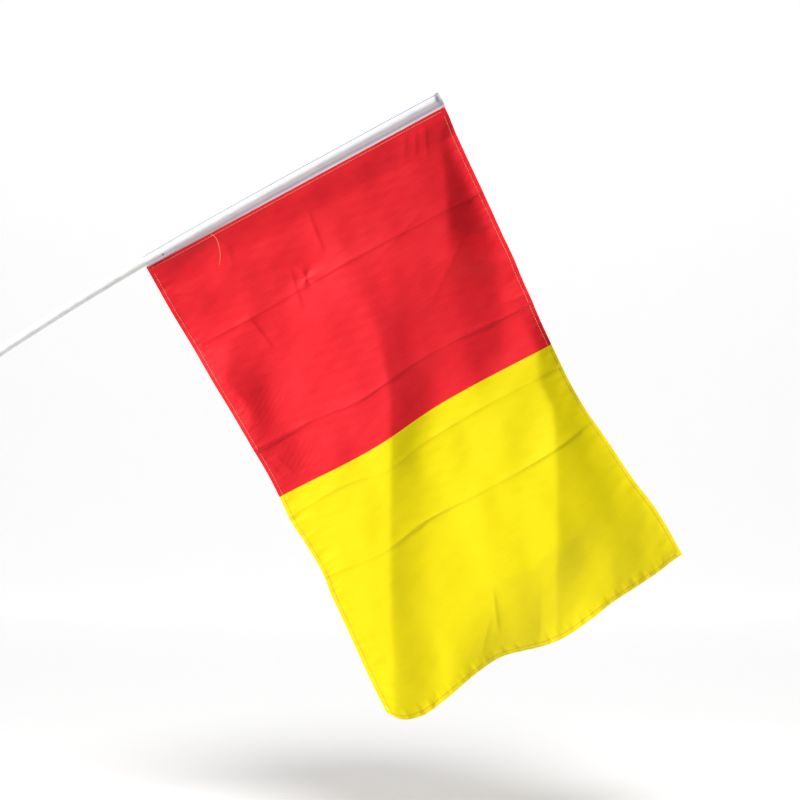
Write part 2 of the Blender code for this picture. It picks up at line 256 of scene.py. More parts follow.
def travelled(path: np.ndarray) -> np.ndarray:
    """Distance along a path at each of its points."""
    return np.concatenate([[0.0], np.cumsum(np.linalg.norm(np.diff(path, axis=0), axis=1))])


def rings(path: np.ndarray, sides: int) -> tuple[np.ndarray, np.ndarray]:
    """Unit circles square to a path, with their first direction nearest to the flag's back.

    Args:
        path: (n, 3) points, no part of which runs from front to back.
        sides: points round a circle.
    Returns:
        (n, sides, 3) directions and the angles of the points.
    """
    tangent = np.gradient(path, axis=0)
    tangent /= np.linalg.norm(tangent, axis=1, keepdims=True)
    cross = BACKWARD - tangent * (tangent @ BACKWARD)[:, None]
    cross /= np.linalg.norm(cross, axis=1, keepdims=True)
    angle = np.arange(sides) * 2 * np.pi / sides
    up = np.cross(tangent, cross)
    return cross[:, None] * np.cos(angle)[:, None] + up[:, None] * np.sin(angle)[:, None], angle


# ---------------------------------------------------------------- finishes
def add_node(
    tree: bpy.types.NodeTree,
    kind: str,
    settings: dict[str, object] | None = None,
    inputs: dict[str | int, object] | None = None,
) -> bpy.types.Node:
    """Adds a shader node with its settings and links.

    Args:
        tree: the material's node tree.
        kind: the node's type.
        settings: the node's own properties.
        inputs: socket name or number to a value, or to the output socket that feeds it.
    Returns:
        The node.
    """
    node = tree.nodes.new(kind)
    for key, value in (settings or {}).items():
        setattr(node, key, value)
    for key, value in (inputs or {}).items():
        if isinstance(value, bpy.types.NodeSocket):
            tree.links.new(value, node.inputs[key])
        else:
            node.inputs[key].default_value = value
    return node


class Graph:
    """A new material, with short calls for the nodes that the finishes share."""

    def __init__(self, name: str) -> None:
        """Starts a material of this name that holds a Principled shader and its output."""
        self.material = bpy.data.materials.new(name)
        self.material.use_nodes = True
        self.tree = self.material.node_tree
        self.shader = self.tree.nodes["Principled BSDF"]

    def out(self, kind: str, inputs: dict[str | int, object], output: str | int = 0, **settings: object) -> Socket:
        """Adds a node and gives one of its outputs."""
        return add_node(self.tree, kind, settings, inputs).outputs[output]

    def lay(self) -> Socket:
        """The piece's own lay, in metres along and across it."""
        return self.out("ShaderNodeUVMap", {}, uv_map="lay")

    def place(self) -> Socket:
        """The place in the object's own coordinates, in metres."""
        return self.out("ShaderNodeTexCoord", {}, "Object")

    def shares(self, name: str) -> Socket:
        """A value from 0 to 1 that the piece carries at its vertices."""
        return self.out("ShaderNodeAttribute", {}, "Fac", attribute_name=name)

    def part(self, vector: Socket, axis: str) -> Socket:
        """The X, Y or Z part of a vector."""
        return self.out("ShaderNodeSeparateXYZ", {"Vector": vector}, axis)

    def stretched(self, place: Socket, along: float, across: float) -> Socket:
        """A place measured in a length along and a length across."""
        return self.out("ShaderNodeMapping", {"Vector": place, "Scale": (1 / along, 1 / across, 1)})

    def noise(self, place: Socket, scale: float, detail: float = 2.0, roughness: float = 0.5) -> Socket:
        """Cloudy noise, with scale clouds to one unit of place."""
        inputs = {"Vector": place, "Scale": scale, "Detail": detail, "Roughness": roughness}
        return self.out("ShaderNodeTexNoise", inputs)

    def maths(self, operation: str, *values: Socket | float) -> Socket:
        """One step of arithmetic."""
        return self.out("ShaderNodeMath", dict(enumerate(values)), operation=operation)

    def wave(self, value: Socket, pitch: float) -> Socket:
        """A sine of a value, one turn to each pitch."""
        return self.maths("SINE", self.maths("MULTIPLY", value, 2 * math.pi / pitch))

    def weave(self, place: Socket, pitch: float) -> Socket:
        """Crossed threads: the product of the waves along a place's two parts."""
        return self.maths("MULTIPLY", *(self.wave(self.part(place, axis), pitch) for axis in "XY"))

    def spread(self, value: Socket, low: float, high: float, start: float = 0.0, end: float = 1.0) -> Socket:
        """A value carried from the range start to end onto the range low to high."""
        inputs = {"Value": value, "From Min": start, "From Max": end, "To Min": low, "To Max": high}
        return self.out("ShaderNodeMapRange", inputs)

    def mix(self, share: Socket, first: Socket, second: str) -> Socket:
        """A colour moved by a share towards a hex colour."""
        return self.out("ShaderNodeMix", {0: share, 6: first, 7: linear(second)}, 2, data_type="RGBA")

    def ramp(self, factor: Socket, *stops: tuple[float, str]) -> Socket:
        """A colour ramp over a factor, through (place, hex colour) stops."""
        node = add_node(self.tree, "ShaderNodeValToRGB", inputs={"Fac": factor})
        elements = node.color_ramp.elements
        for element, (place, colour) in zip(elements, (stops[0], stops[-1])):
            element.position, element.color = place, linear(colour)
        for place, colour in stops[1:-1]:
            elements.new(place).color = linear(colour)
        return node.outputs["Color"]

    def feed(self, socket: str, value: Socket) -> None:
        """Links an output to one of the shader's sockets."""
        self.tree.links.new(value, self.shader.inputs[socket])

    def bump(self, height: Socket, strength: float, distance: float) -> None:
        """Raises the shader's surface by a height."""
        inputs = {"Strength": strength, "Distance": distance, "Height": height}
        self.feed("Normal", self.out("ShaderNodeBump", inputs))

    def done(self, **values: object) -> bpy.types.Material:
        """Sets constants on the shader's own sockets, an underscore for a space, and gives the material."""
        for key, value in values.items():
            self.shader.inputs[key.replace("_", " ")].default_value = value
        return self.material


@dataclass(frozen=True)
class WovenPolyester:
    """Flag bunting: plain-woven polyester, dyed through and calendered.

    It reads as a saturated colour with a soft satin bloom, faint crosswise slubs along the weft and a
    little unevenness of dye. The real threads are about 0.15 mm apart, too fine to show, so the weave is
    drawn at a 0.6 mm pitch.
    """

    name: str
    slot: str
    colour: str
    deep: str
    pale: str
    roughness: float = 0.58
    slub_length: float = 22 * MM
    slub_width: float = 1.3 * MM
    patch: float = 45 * MM
    weave_pitch: float = 0.6 * MM
    warp_share: float = 0.35
    patch_share: float = 0.55
    weave_share: float = 0.12
    relief: float = 0.18 * MM

    def make(self) -> bpy.types.Material:
        """Builds the material on the cloth's own lay, in metres along the weft and down the warp."""
        graph = Graph(self.name)
        lay = graph.lay()
        slubs = graph.noise(graph.stretched(lay, self.slub_length, self.slub_width), 1.0, 3.0, 0.6)
        warps = graph.noise(graph.stretched(lay, self.slub_width, self.slub_length), 1.0)
        patches = graph.noise(lay, 1 / self.patch, 4.0)
        threads = graph.maths("MULTIPLY_ADD", warps, self.warp_share, slubs)
        dye = graph.maths("MULTIPLY_ADD", patches, self.patch_share, threads)
        share = graph.spread(dye, 0.28, 0.72, 0.62, 1.28)
        graph.feed("Base Color", graph.ramp(share, (0.0, self.deep), (0.5, self.colour), (1.0, self.pale)))
        weave = graph.weave(lay, self.weave_pitch)
        graph.bump(graph.maths("MULTIPLY_ADD", weave, self.weave_share, threads), 0.14, self.relief)
        return graph.done(
            Roughness=self.roughness, IOR=1.5, Specular_IOR_Level=0.22, Sheen_Weight=0.05, Sheen_Roughness=0.45,
            Sheen_Tint=linear(self.pale),
        )


@dataclass(frozen=True)
class SleeveCotton:
    """White polycotton sleeve tape: a bright matt weave.

    It reads as clean white cloth, tinted pink low down where the dyed cloth shows through. A grey-violet is
    painted along its top as a dark outline, and along the flange's crease under the bulge as a painted shadow
    line.
    """

    name: str = "white_polycotton_tape"
    colour: str = "#FAFAFD"
    shade: str = "#F0F1F7"
    # painted grey-violet: a dark outline along the sleeve's top and a shadow line along the flange's crease under
    # the bulge
    painted_outline_and_shadow: str = "#8D8BA3"
    tint: str = "#EBB9CF"
    rib_pitch: float = 0.9 * MM
    cloud: float = 14 * MM
    relief: float = 0.12 * MM

    def make(self) -> bpy.types.Material:
        """Builds the material on distance along the sleeve and round it."""
        graph = Graph(self.name)
        lay = graph.lay()
        cloud = graph.noise(lay, 1 / self.cloud, 5.0)
        base = graph.ramp(cloud, (0.35, self.shade), (0.62, self.colour))
        dyed = graph.mix(graph.shares("show_through"), base, self.tint)
        # mixes in the painted grey-violet outline along the top and the painted shadow line along the crease
        graph.feed("Base Color", graph.mix(graph.shares("painted_outline_and_shadow"), dyed, self.painted_outline_and_shadow))
        height = graph.maths("MULTIPLY_ADD", cloud, 2.0, graph.weave(lay, self.rib_pitch))
        graph.bump(height, 0.3, self.relief)
        return graph.done(Roughness=0.7, IOR=1.5, Specular_IOR_Level=0.3, Sheen_Weight=0.15)


@dataclass(frozen=True)
class ExtrudedPlastic:
    """White polypropylene tube, extruded: it reads as half-gloss, with faint draw lines and hand scuffs."""

    name: str
    colour: str
    shade: str
    roughness: float
    draw_length: float = 1 / 6
    draw_line: float = 0.5 * MM
    scuff: float = 9 * MM
    relief: float = 0.1 * MM

    def make(self) -> bpy.types.Material:
        """Builds the material on distance along the tube and round it."""
        graph = Graph(self.name)
        lay = graph.lay()
        lines = graph.noise(graph.stretched(lay, self.draw_length, self.draw_line), 1.0)
        scuffs = graph.noise(lay, 1 / self.scuff, 6.0)
        graph.feed("Base Color", graph.ramp(scuffs, (0.38, self.shade), (0.58, self.colour)))
        graph.feed("Roughness", graph.spread(scuffs, self.roughness - 0.06, self.roughness + 0.1, 0.35, 0.65))
        graph.bump(lines, 0.12, self.relief)
        return graph.done(IOR=1.49, Specular_IOR_Level=0.5)


@dataclass(frozen=True)
class SpunThread:
    """Spun polyester sewing thread: it reads as matt twisted yarn with a faint fuzz of lighter fibre."""

    name: str
    colour: str
    shade: str
    twist_pitch: float = 0.5 * MM
    relief: float = 0.1 * MM

    def make(self) -> bpy.types.Material:
        """Builds the material on distance along and round the thread: slanted bands for the twist."""
        graph = Graph(self.name)
        lay = graph.lay()
        slant = graph.maths("ADD", graph.part(lay, "X"), graph.part(lay, "Y"))
        share = graph.spread(graph.wave(slant, self.twist_pitch), 0.0, 1.0, -1.0)
        graph.feed("Base Color", graph.ramp(share, (0.1, self.shade), (0.7, self.colour)))
        graph.bump(share, 0.4, self.relief)
        return graph.done(Roughness=0.6, IOR=1.5, Specular_IOR_Level=0.35, Sheen_Weight=0.3)


@dataclass(frozen=True)
class PlatedSteel:
    """Nickel-plated steel pin: it reads as a small dull mirror, greyed by handling."""

    name: str = "nickel_plated_steel"
    colour: str = "#A9ABB0"
    shade: str = "#6E7078"
    grit: float = 0.4 * MM

    def make(self) -> bpy.types.Material:
        """Builds the material on object coordinates: fine cloudy tarnish."""
        graph = Graph(self.name)
        tarnish = graph.noise(graph.place(), 1 / self.grit, 3.0)
        graph.feed("Base Color", graph.ramp(tarnish, (0.3, self.shade), (0.7, self.colour)))
        graph.feed("Roughness", graph.spread(tarnish, 0.25, 0.5))
        return graph.done(Metallic=1.0)


# ---------------------------------------------------------------- the seam frame
@dataclass(frozen=True)
class SeamFrame:
    """Where the sewn seam lies in the world, read from the swing joint."""

    origin: np.ndarray
    along: np.ndarray
    up: np.ndarray

    @classmethod
    def from_joint(cls, joint: dict, hoist: float, hinge_gap: float) -> "SeamFrame":
        """Finds the seam's inner end from the joint at the middle of the seam.

        Args:
            joint: the swing joint's row, with its place and axis.
            hoist: the seam's length.
            hinge_gap: how far the joint lies below the seam.
        Returns:
            The frame.
        """
        along = np.array(joint["axis"], float)
        along /= np.linalg.norm(along)
        up = np.cross(along, BACKWARD)
        origin = np.array(joint["pos_m"], float) - along * hoist / 2 + up * hinge_gap
        return cls(origin, along, up)

    def world(self, x: np.ndarray, y: np.ndarray, z: np.ndarray) -> np.ndarray:
        """World points from seam-frame coordinates, stacked on a last axis of three."""
        x, y, z = np.broadcast_arrays(x, y, z)
        return self.origin + x[..., None] * self.along + y[..., None] * BACKWARD + z[..., None] * self.up


class Side(Enum):
    """Which side of the cloth something lies on."""

    FRONT = 1.0
    BACK = -1.0


# ---------------------------------------------------------------- the cloth's form
@dataclass(frozen=True)
class Bend:
    """A line that runs down the hung cloth, where its slope across changes.

    Each row holds a height in the world, the line's place across there, the change of slope that it makes
    (less is a crest, more is a valley) and how softly it turns; heights, places and softness are in
    millimetres.
    """

    rows: tuple[tuple[float, float, float, float], ...]

    def at(self, z: np.ndarray) -> tuple[np.ndarray, np.ndarray, np.ndarray]:
        """Place, change of slope and softness of the line at heights z, in millimetres."""
        place, turn, soft = (through(tuple((row[0], row[k]) for row in self.rows), z) for k in (1, 2, 3))
        return place, turn, np.maximum(soft, 1.0)

    def depth(self, x: np.ndarray, z: np.ndarray, origin: np.ndarray) -> np.ndarray:
        """Depth that the bend adds at x, less what it adds at an origin across.

        Args:
            x, z: world places in millimetres.
            origin: the place across where the whole profile is pinned.
        Returns:
            The change of slope times a soft ramp: softness times log(1 + e to the power distance/softness).
        """
        place, turn, soft = self.at(z)
        turn = turn * FOLD_STRENGTH
        here = np.logaddexp(0.0, (x - place) / soft)
        there = np.logaddexp(0.0, (origin - place) / soft)
        return turn * soft * (here - there)


MAIN_CREST = Bend((
    (-274, 428, -0.60, 1.8), (-175, 424.5, -0.60, 1.4), (-31, 424.5, -0.62, 1.2), (5, 424, -0.70, 1.2),
    (41, 419, -0.60, 1.4), (68, 413, -0.44, 2.2), (95, 401, -0.32, 4), (122, 388, -0.32, 7), (150, 375, -0.20, 11),
    (177, 361, -0.08, 14), (204, 350, -0.04, 16),
))
FOLDS = (
    Bend((
        (-265, 460, 0.50, 6), (-139, 455, 0.56, 6), (-31, 458, 0.60, 5), (5, 459, 0.60, 4), (23, 456, 0.50, 4),
        (50, 446, 0.34, 6), (77, 455, 0.20, 7), (104, 452, 0.05, 8), (122, 450, 0.0, 8),
    )),
    Bend((
        (-211, 575, -0.50, 1.4), (-166, 574, -0.46, 1.2), (-31, 572, -0.50, 1.2), (-4, 570, -0.56, 1.2),
        (23, 559, -0.50, 1.5), (50, 556, -0.72, 2), (77, 545, -0.60, 3), (104, 538, 0.0, 5),
    )),
    Bend((
        (-110, 322, 0.0, 8), (-58, 308, -0.25, 5), (-31, 300, -0.50, 3), (-4, 297, -0.66, 2), (23, 276, -0.60, 2),
        (50, 282, -0.40, 3), (80, 296, -0.36, 2.5), (104, 300, -0.05, 6), (125, 300, 0.0, 6),
    )),
    Bend((
        (-110, 362, 0.0, 12), (-58, 350, 0.25, 10), (-31, 332, 0.50, 8), (-4, 316, 0.66, 6), (23, 315, 0.62, 6),
        (50, 311, 0.44, 7), (80, 314, 0.46, 6), (104, 330, 0.28, 6), (131, 352, 0.34, 7), (160, 356, 0.1, 9),
        (190, 356, 0.0, 9),
    )),
)
CORNER_FOLDS = (
    Bend((
        (5, 490, 0.0, 6), (23, 490, -0.12, 5), (50, 490, -0.32, 3), (77, 488, -0.34, 2.5), (104, 480, -0.26, 3),
        (131, 478, -0.36, 2.5), (159, 477, -0.55, 1.8), (213, 473, -0.60, 1.6), (245, 470, -0.50, 1.6),
    )),
    Bend((
        (5, 505, 0.0, 6), (23, 511, 0.15, 6), (50, 524, 0.55, 4), (77, 524, 0.60, 4), (104, 524, 0.55, 4),
        (131, 520, 0.60, 4), (159, 513, 0.85, 3), (186, 502, 0.95, 2.5), (213, 489, 0.95, 2.5),
        (245, 477, 0.8, 2.5),
    )),
)
FOLD_STRENGTH = 0.70
LEFT_SLOPE = ((-265, 0.12), (-60, 0.13), (60, 0.12), (82, 0.07), (106, 0.0), (131, -0.02), (180, 0.0))
CREST_DEPTH = ((-265, 8.0), (-31, 7.5), (60, 7.0), (104, 6.5), (131, 5.0), (170, 2.0), (204, 0.5))


def ridge(away: np.ndarray, rise: float, drop: float) -> np.ndarray:
    """A one-sided ridge of height one: e to the power distance/rise before it and -distance/drop after it."""
    return np.exp(np.minimum(away, 0) / rise - np.maximum(away, 0) / drop)


@dataclass(frozen=True)
class Wrinkle:
    """A short sharp wrinkle between two places on the cloth: it rises slowly on its left and drops on its right.

    Places are in millimetres, across from the inner edge and down from the seam.
    """

    start: tuple[float, float]
    end: tuple[float, float]
    height: float
    rise: float = 5.0
    drop: float = 1.3

    def depth(self, u: np.ndarray, d: np.ndarray) -> np.ndarray:
        """Depth in millimetres at places u across and d down.

        Args:
            u, d: places in millimetres.
        Returns:
            Height times a ridge of the distance from the line, faded towards both ends.
        """
        run_u, run_d = self.end[0] - self.start[0], self.end[1] - self.start[1]
        length = math.hypot(run_u, run_d)
        from_u, from_d = u - self.start[0], d - self.start[1]
        along = (from_u * run_u + from_d * run_d) / length**2
        away = (run_u * from_d - run_d * from_u) / length
        fade = smoothstep(along, -0.12, 0.25) * (1 - smoothstep(along, 0.7, 1.12))
        return self.height * fade * ridge(away, self.rise, self.drop)


WRINKLES = (
    Wrinkle((-4, 26), (26, 41), 1.0),
    Wrinkle((0, 34), (18, 50), 0.5),
    Wrinkle((146, 62), (151, 22), 0.7),
    Wrinkle((64, 118), (58, 82), 0.9),
    Wrinkle((104, 100), (112, 62), 0.7),
    Wrinkle((250, 24), (263, 3), 0.45),
    Wrinkle((259, 29), (273, 3), 0.5),
    Wrinkle((269, 33), (282, 3), 0.5),
    Wrinkle((266, 182), (298, 188), 0.9),
    Wrinkle((-4, 194), (62, 191), 1.3),
    Wrinkle((16, 222), (10, 200), 0.6),
    Wrinkle((28, 226), (20, 202), 0.5),
    Wrinkle((121, 440), (136, 400), 0.8),
    Wrinkle((98, 452), (122, 424), 0.5),
    Wrinkle((2, 352), (26, 362), 0.8),
    Wrinkle((2, 378), (22, 386), 0.9),
    Wrinkle((0, 404), (20, 410), 1.0),
    Wrinkle((0, 428), (16, 432), 0.9),
    Wrinkle((176, 96), (244, 72), 0.35),
    Wrinkle((210, 150), (268, 108), 0.4),
)


@dataclass(frozen=True)
class Pucker:
    """Fine puckers beside an edge: their pitch along it and across it, their height and where they are strongest.

    Lengths are in millimetres.
    """

    pitch: float
    across: float
    seed: int
    height: float
    centre: float
    width: float

    def depth(self, along: np.ndarray, distance: np.ndarray) -> np.ndarray:
        """Depth in millimetres: the height times noise and a bell round the strongest line.

        Args:
            along, distance: places along the edge and distances from it, in millimetres.
        Returns:
            The depth.
        """
        noise = smooth_noise(along / self.pitch, distance / self.across, self.seed, 8)
        return self.height * noise * bell(distance, self.centre, self.width)


@dataclass(frozen=True)
class ClothForm:
    """The hung cloth as one surface of two parameters: p across it from 0 to 1, and v down it.

    Sizes are the flat flag's. The outline draws in at mid fly, the hem waves, and the depth towards the
    front adds folds that hang straight down in the world, a few smaller ones, pressed packing creases,
    puckers along the hems and a little unevenness. Edges, creases, leans and curls are in millimetres; a
    crease is a height and its places down at shares across.
    """

    frame: SeamFrame
    hoist: float = 0.305
    fly: float = 0.462
    colour_line: float = 0.237
    inner_edge: Curve = (
        (0.0, -1.5), (49.0, -1.2), (87.0, 0.4), (138.0, 2.8), (188.0, 5.2), (213.0, 6.1), (237.0, 5.4),
        (262.0, 4.0), (287.0, 6.2), (312.0, 7.3), (324.0, 7.0), (336.0, 5.0), (348.0, 4.4), (384.0, 2.4),
        (431.0, -0.5), (462.0, -1.2),
    )
    outer_edge: Curve = (
        (0.0, 304.0), (27.0, 302.0), (117.0, 297.0), (170.0, 292.0), (241.0, 287.0), (277.0, 285.4),
        (302.0, 286.0), (328.0, 289.0), (380.0, 294.0), (407.0, 298.5), (462.0, 301.0),
    )
    hem_line: Curve = (
        (0.0, 456.0), (0.02, 464.0), (0.08, 473.0), (0.15, 472.0), (0.21, 468.5), (0.3, 463.5), (0.38, 462.5),
        (0.44, 467.0), (0.5, 472.5), (0.57, 474.5), (0.66, 471.0), (0.75, 466.0), (0.82, 464.5), (0.9, 462.5),
        (1.0, 458.5),
    )
    join_line: Curve = ((0.0, 239.0), (0.38, 240.0), (0.54, 235.2), (1.0, 234.5))
    creases: tuple[tuple[float, Curve], ...] = (
        (0.90, ((0.0, 83.5), (0.2, 84.5), (0.4, 82.5), (1.0, 83.0))),
        (1.30, ((0.0, 191.5), (0.2, 192.0), (0.38, 197.0), (0.46, 194.5), (0.58, 191.0), (1.0, 193.5))),
        (0.80, ((0.0, 259.0), (0.25, 259.0), (0.33, 264.0), (0.48, 258.5), (0.66, 255.5), (1.0, 256.0))),
        (1.40, ((0.0, 322.5), (0.22, 327.0), (0.35, 321.0), (0.55, 321.5), (0.85, 319.0), (1.0, 314.0))),
    )
    crease_rise: float = 7.0
    crease_drop: float = 1.2
    hem_wave_start: float = 0.30
    join_reach: float = 0.05
    seam_lean: float = 5.0
    mouth_lean: float = 2.5
    hem_curl: float = 25.0
    hem_reach: float = 66.0
    bowl_run: float = 80.0
    rim_curl: float = 3.0
    rim_reach: float = 6.5
    inner_pucker: Pucker = Pucker(8.0, 30.0, 3, 0.20, 6.0, 6.0)
    outer_pucker: Pucker = Pucker(8.0, 30.0, 4, 0.20, 6.0, 6.0)
    hem_pucker: Pucker = Pucker(8.5, 30.0, 6, 0.22, 4.0, 5.0)
    seam_pucker: Pucker = Pucker(10.0, 24.0, 7, 0.12, 7.0, 6.0)
    knot: tuple[float, float] = (121.0, 76.0)
    knot_height: float = 1.1

    def outline(self, p: np.ndarray, v: np.ndarray) -> tuple[np.ndarray, np.ndarray]:
        """Seam-frame X and Z of the flat-hung cloth, before its depth.

        Args:
            p: share across, 0 at the inner edge.
            v: distance down in metres.
        Returns:
            X between the two edge curves, and Z below the seam, moved by the colour line's own wave near
            it and by the hem's wave over the lowest part.
        """
        inner = through(self.inner_edge, v / MM) * MM
        outer = through(self.outer_edge, v / MM) * MM
        x = inner + (outer - inner) * p
        hem = through(self.hem_line, p) * MM - self.fly
        join = through(self.join_line, p) * MM - self.colour_line
        share = np.clip((v - self.hem_wave_start) / (self.fly - self.hem_wave_start), 0.0, None)
        return x, -v - hem * share**2.2 - join * bell(v, self.colour_line, self.join_reach)

    def folds(self, x: np.ndarray, z: np.ndarray, v: np.ndarray, outer: np.ndarray) -> np.ndarray:
        """Depth of the large folds towards the front, in millimetres.

        Args:
            x, z: world coordinates of the flat-hung point, in millimetres.
            v: distance down the cloth, in millimetres.
            outer: distance from the outer edge, in millimetres.
        Returns:
            A chain of nearly flat facets that meet in bends which run straight down, pinned at the main
            crest; two bends by the outer corner that start higher than the rest; a lean back under the
            seam, and one more beside the sleeve's mouth; a bowl that curls back at the hem; and an outer
            rim that curls forward.
        """
        pin, _, _ = MAIN_CREST.at(z)
        total = through(CREST_DEPTH, z) + through(LEFT_SLOPE, z) * (x - pin)
        total = total + sum(bend.depth(x, z, pin) for bend in (MAIN_CREST, *FOLDS))
        corner = sum(bend.depth(x, z, pin) for bend in CORNER_FOLDS)
        total = total * smoothstep(v, 4.0, 85.0) + corner * smoothstep(v, 2.0, 26.0)
        total = total - self.seam_lean * smoothstep(v, 0.0, 30.0) * (1 - smoothstep(v, 34.0, 150.0))
        mouth = smoothstep(v, 0.0, 12.0) * (1 - smoothstep(v, 14.0, 50.0)) * bell(x, 245.0, 40.0)
        total = total - self.mouth_lean * mouth
        near_hem = np.clip(1 - (self.fly / MM - v) / self.hem_reach, 0.0, None)
        bowl = np.minimum(np.logaddexp(0.0, (x - 480.0) / 3.0) * 3.0 / self.bowl_run, 1.0)
        total = total - self.hem_curl * bowl * (1 - smoothstep(x, 560.0, 628.0)) * near_hem**1.3
        return total + self.rim_curl * np.exp(-outer / self.rim_reach) * smoothstep(-z, -15.0, 10.0)

    def creasing(self, p: np.ndarray, drop: np.ndarray) -> np.ndarray:
        """Depth of the pressed packing creases: ridges that rise slowly from above and drop at once below.

        Args:
            p: share across.
            drop: distance below the seam as it hangs, in millimetres.
        Returns:
            The sum of each height, a little uneven across, times a ridge of the distance from its line.
        """
        total = np.zeros(np.broadcast(p, drop).shape)
        for height, line in self.creases:
            strength = 0.75 + 0.30 * np.sin(2 * np.pi * (p * 2.3 + height))
            total += height * strength * ridge(drop - through(line, p), self.crease_rise, self.crease_drop)
        return total

    def wrinkling(self, p: np.ndarray, v: np.ndarray, x: np.ndarray) -> np.ndarray:
        """Depth of small wrinkles in millimetres.

        Args:
            p: share across.
            v: distance down, in metres.
            x: seam-frame X, in metres.
        Returns:
            Low unevenness everywhere, slanting puckers beside the inner edge, fine puckers along the
            hems and the seam, the placed wrinkles and a small crumple over the first crease.
        """
        u, d = x / MM, v / MM
        total = 0.35 * smooth_noise(u / 60.0, d / 75.0, 11) + 0.10 * smooth_noise(u / 24.0, d / 16.0, 5)
        inner = (u - through(self.inner_edge, d)).clip(0.0)
        outer = (through(self.outer_edge, d) - u).clip(0.0)
        slant = np.sin(2 * np.pi * (d * 0.83 + u * 0.55) / 4.6 + 1.2 * np.sin(d / 9.0))
        total += 0.14 * slant * (bell(d, 163.0, 20.0) + bell(d, 218.0, 18.0)) * bell(inner, 26.0, 24.0)
        total += self.inner_pucker.depth(d, inner) + self.outer_pucker.depth(d, outer)
        total += sum(wrinkle.depth(u, d) for wrinkle in WRINKLES)
        total += self.hem_pucker.depth(u, (self.fly / MM - d).clip(0.0)) + self.seam_pucker.depth(u, d.clip(0.0))
        knot_u, knot_d = u - self.knot[0], d - self.knot[1]
        star = np.sin(3.0 * np.arctan2(knot_d, knot_u) + 0.6) * np.tanh(np.hypot(knot_u, knot_d) / 4.0)
        return total + self.knot_height * star * bell(knot_u, 0.0, 15.0) * bell(knot_d, 0.0, 9.0)

    def place(self, p: np.ndarray, v: np.ndarray) -> np.ndarray:
        """World points of the cloth's middle surface.

        Args:
            p: share across.
            v: distance down, in metres; both broadcast together.
        Returns:
            (..., 3) points. Creases and wrinkles fade to nothing over the first centimetre below the seam.
        """
        p, v = np.broadcast_arrays(np.asarray(p, float), np.asarray(v, float))
        x, z = self.outline(p, v)
        flat = self.frame.world(x, 0.0, z)
        outer = (through(self.outer_edge, v / MM) - x / MM).clip(0.0)
        depth = self.folds(flat[..., 0] / MM, flat[..., 2] / MM, v / MM, outer)
        depth = depth + (self.creasing(p, -z / MM) + self.wrinkling(p, v, x)) * smoothstep(v, 0.001, 0.012)
        return flat - BACKWARD * depth[..., None] * MM

    def place_and_normal(self, p: np.ndarray, v: np.ndarray) -> tuple[np.ndarray, np.ndarray]:
        """World points and the unit normals that face the front, from differences of half a millimetre."""
        step = 0.5 * MM
        across = self.place(p + step / self.hoist, v) - self.place(p - step / self.hoist, v)
        down = self.place(p, v + step) - self.place(p, v - step)
        normal = np.cross(down, across)
        return self.place(p, v), normal / np.linalg.norm(normal, axis=-1, keepdims=True)


# ---------------------------------------------------------------- cloth pieces
@dataclass(frozen=True)
class BlendZone:
    """Where a piece of cloth turns from one body to the next."""

    first: str
    second: str
    start: tuple[float, float, float]
    end: tuple[float, float, float]

    def apply(self, piece: bpy.types.Object) -> None:
        """Bakes a piece's transform into its mesh; nothing is blended across the zone."""
        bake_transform(piece)


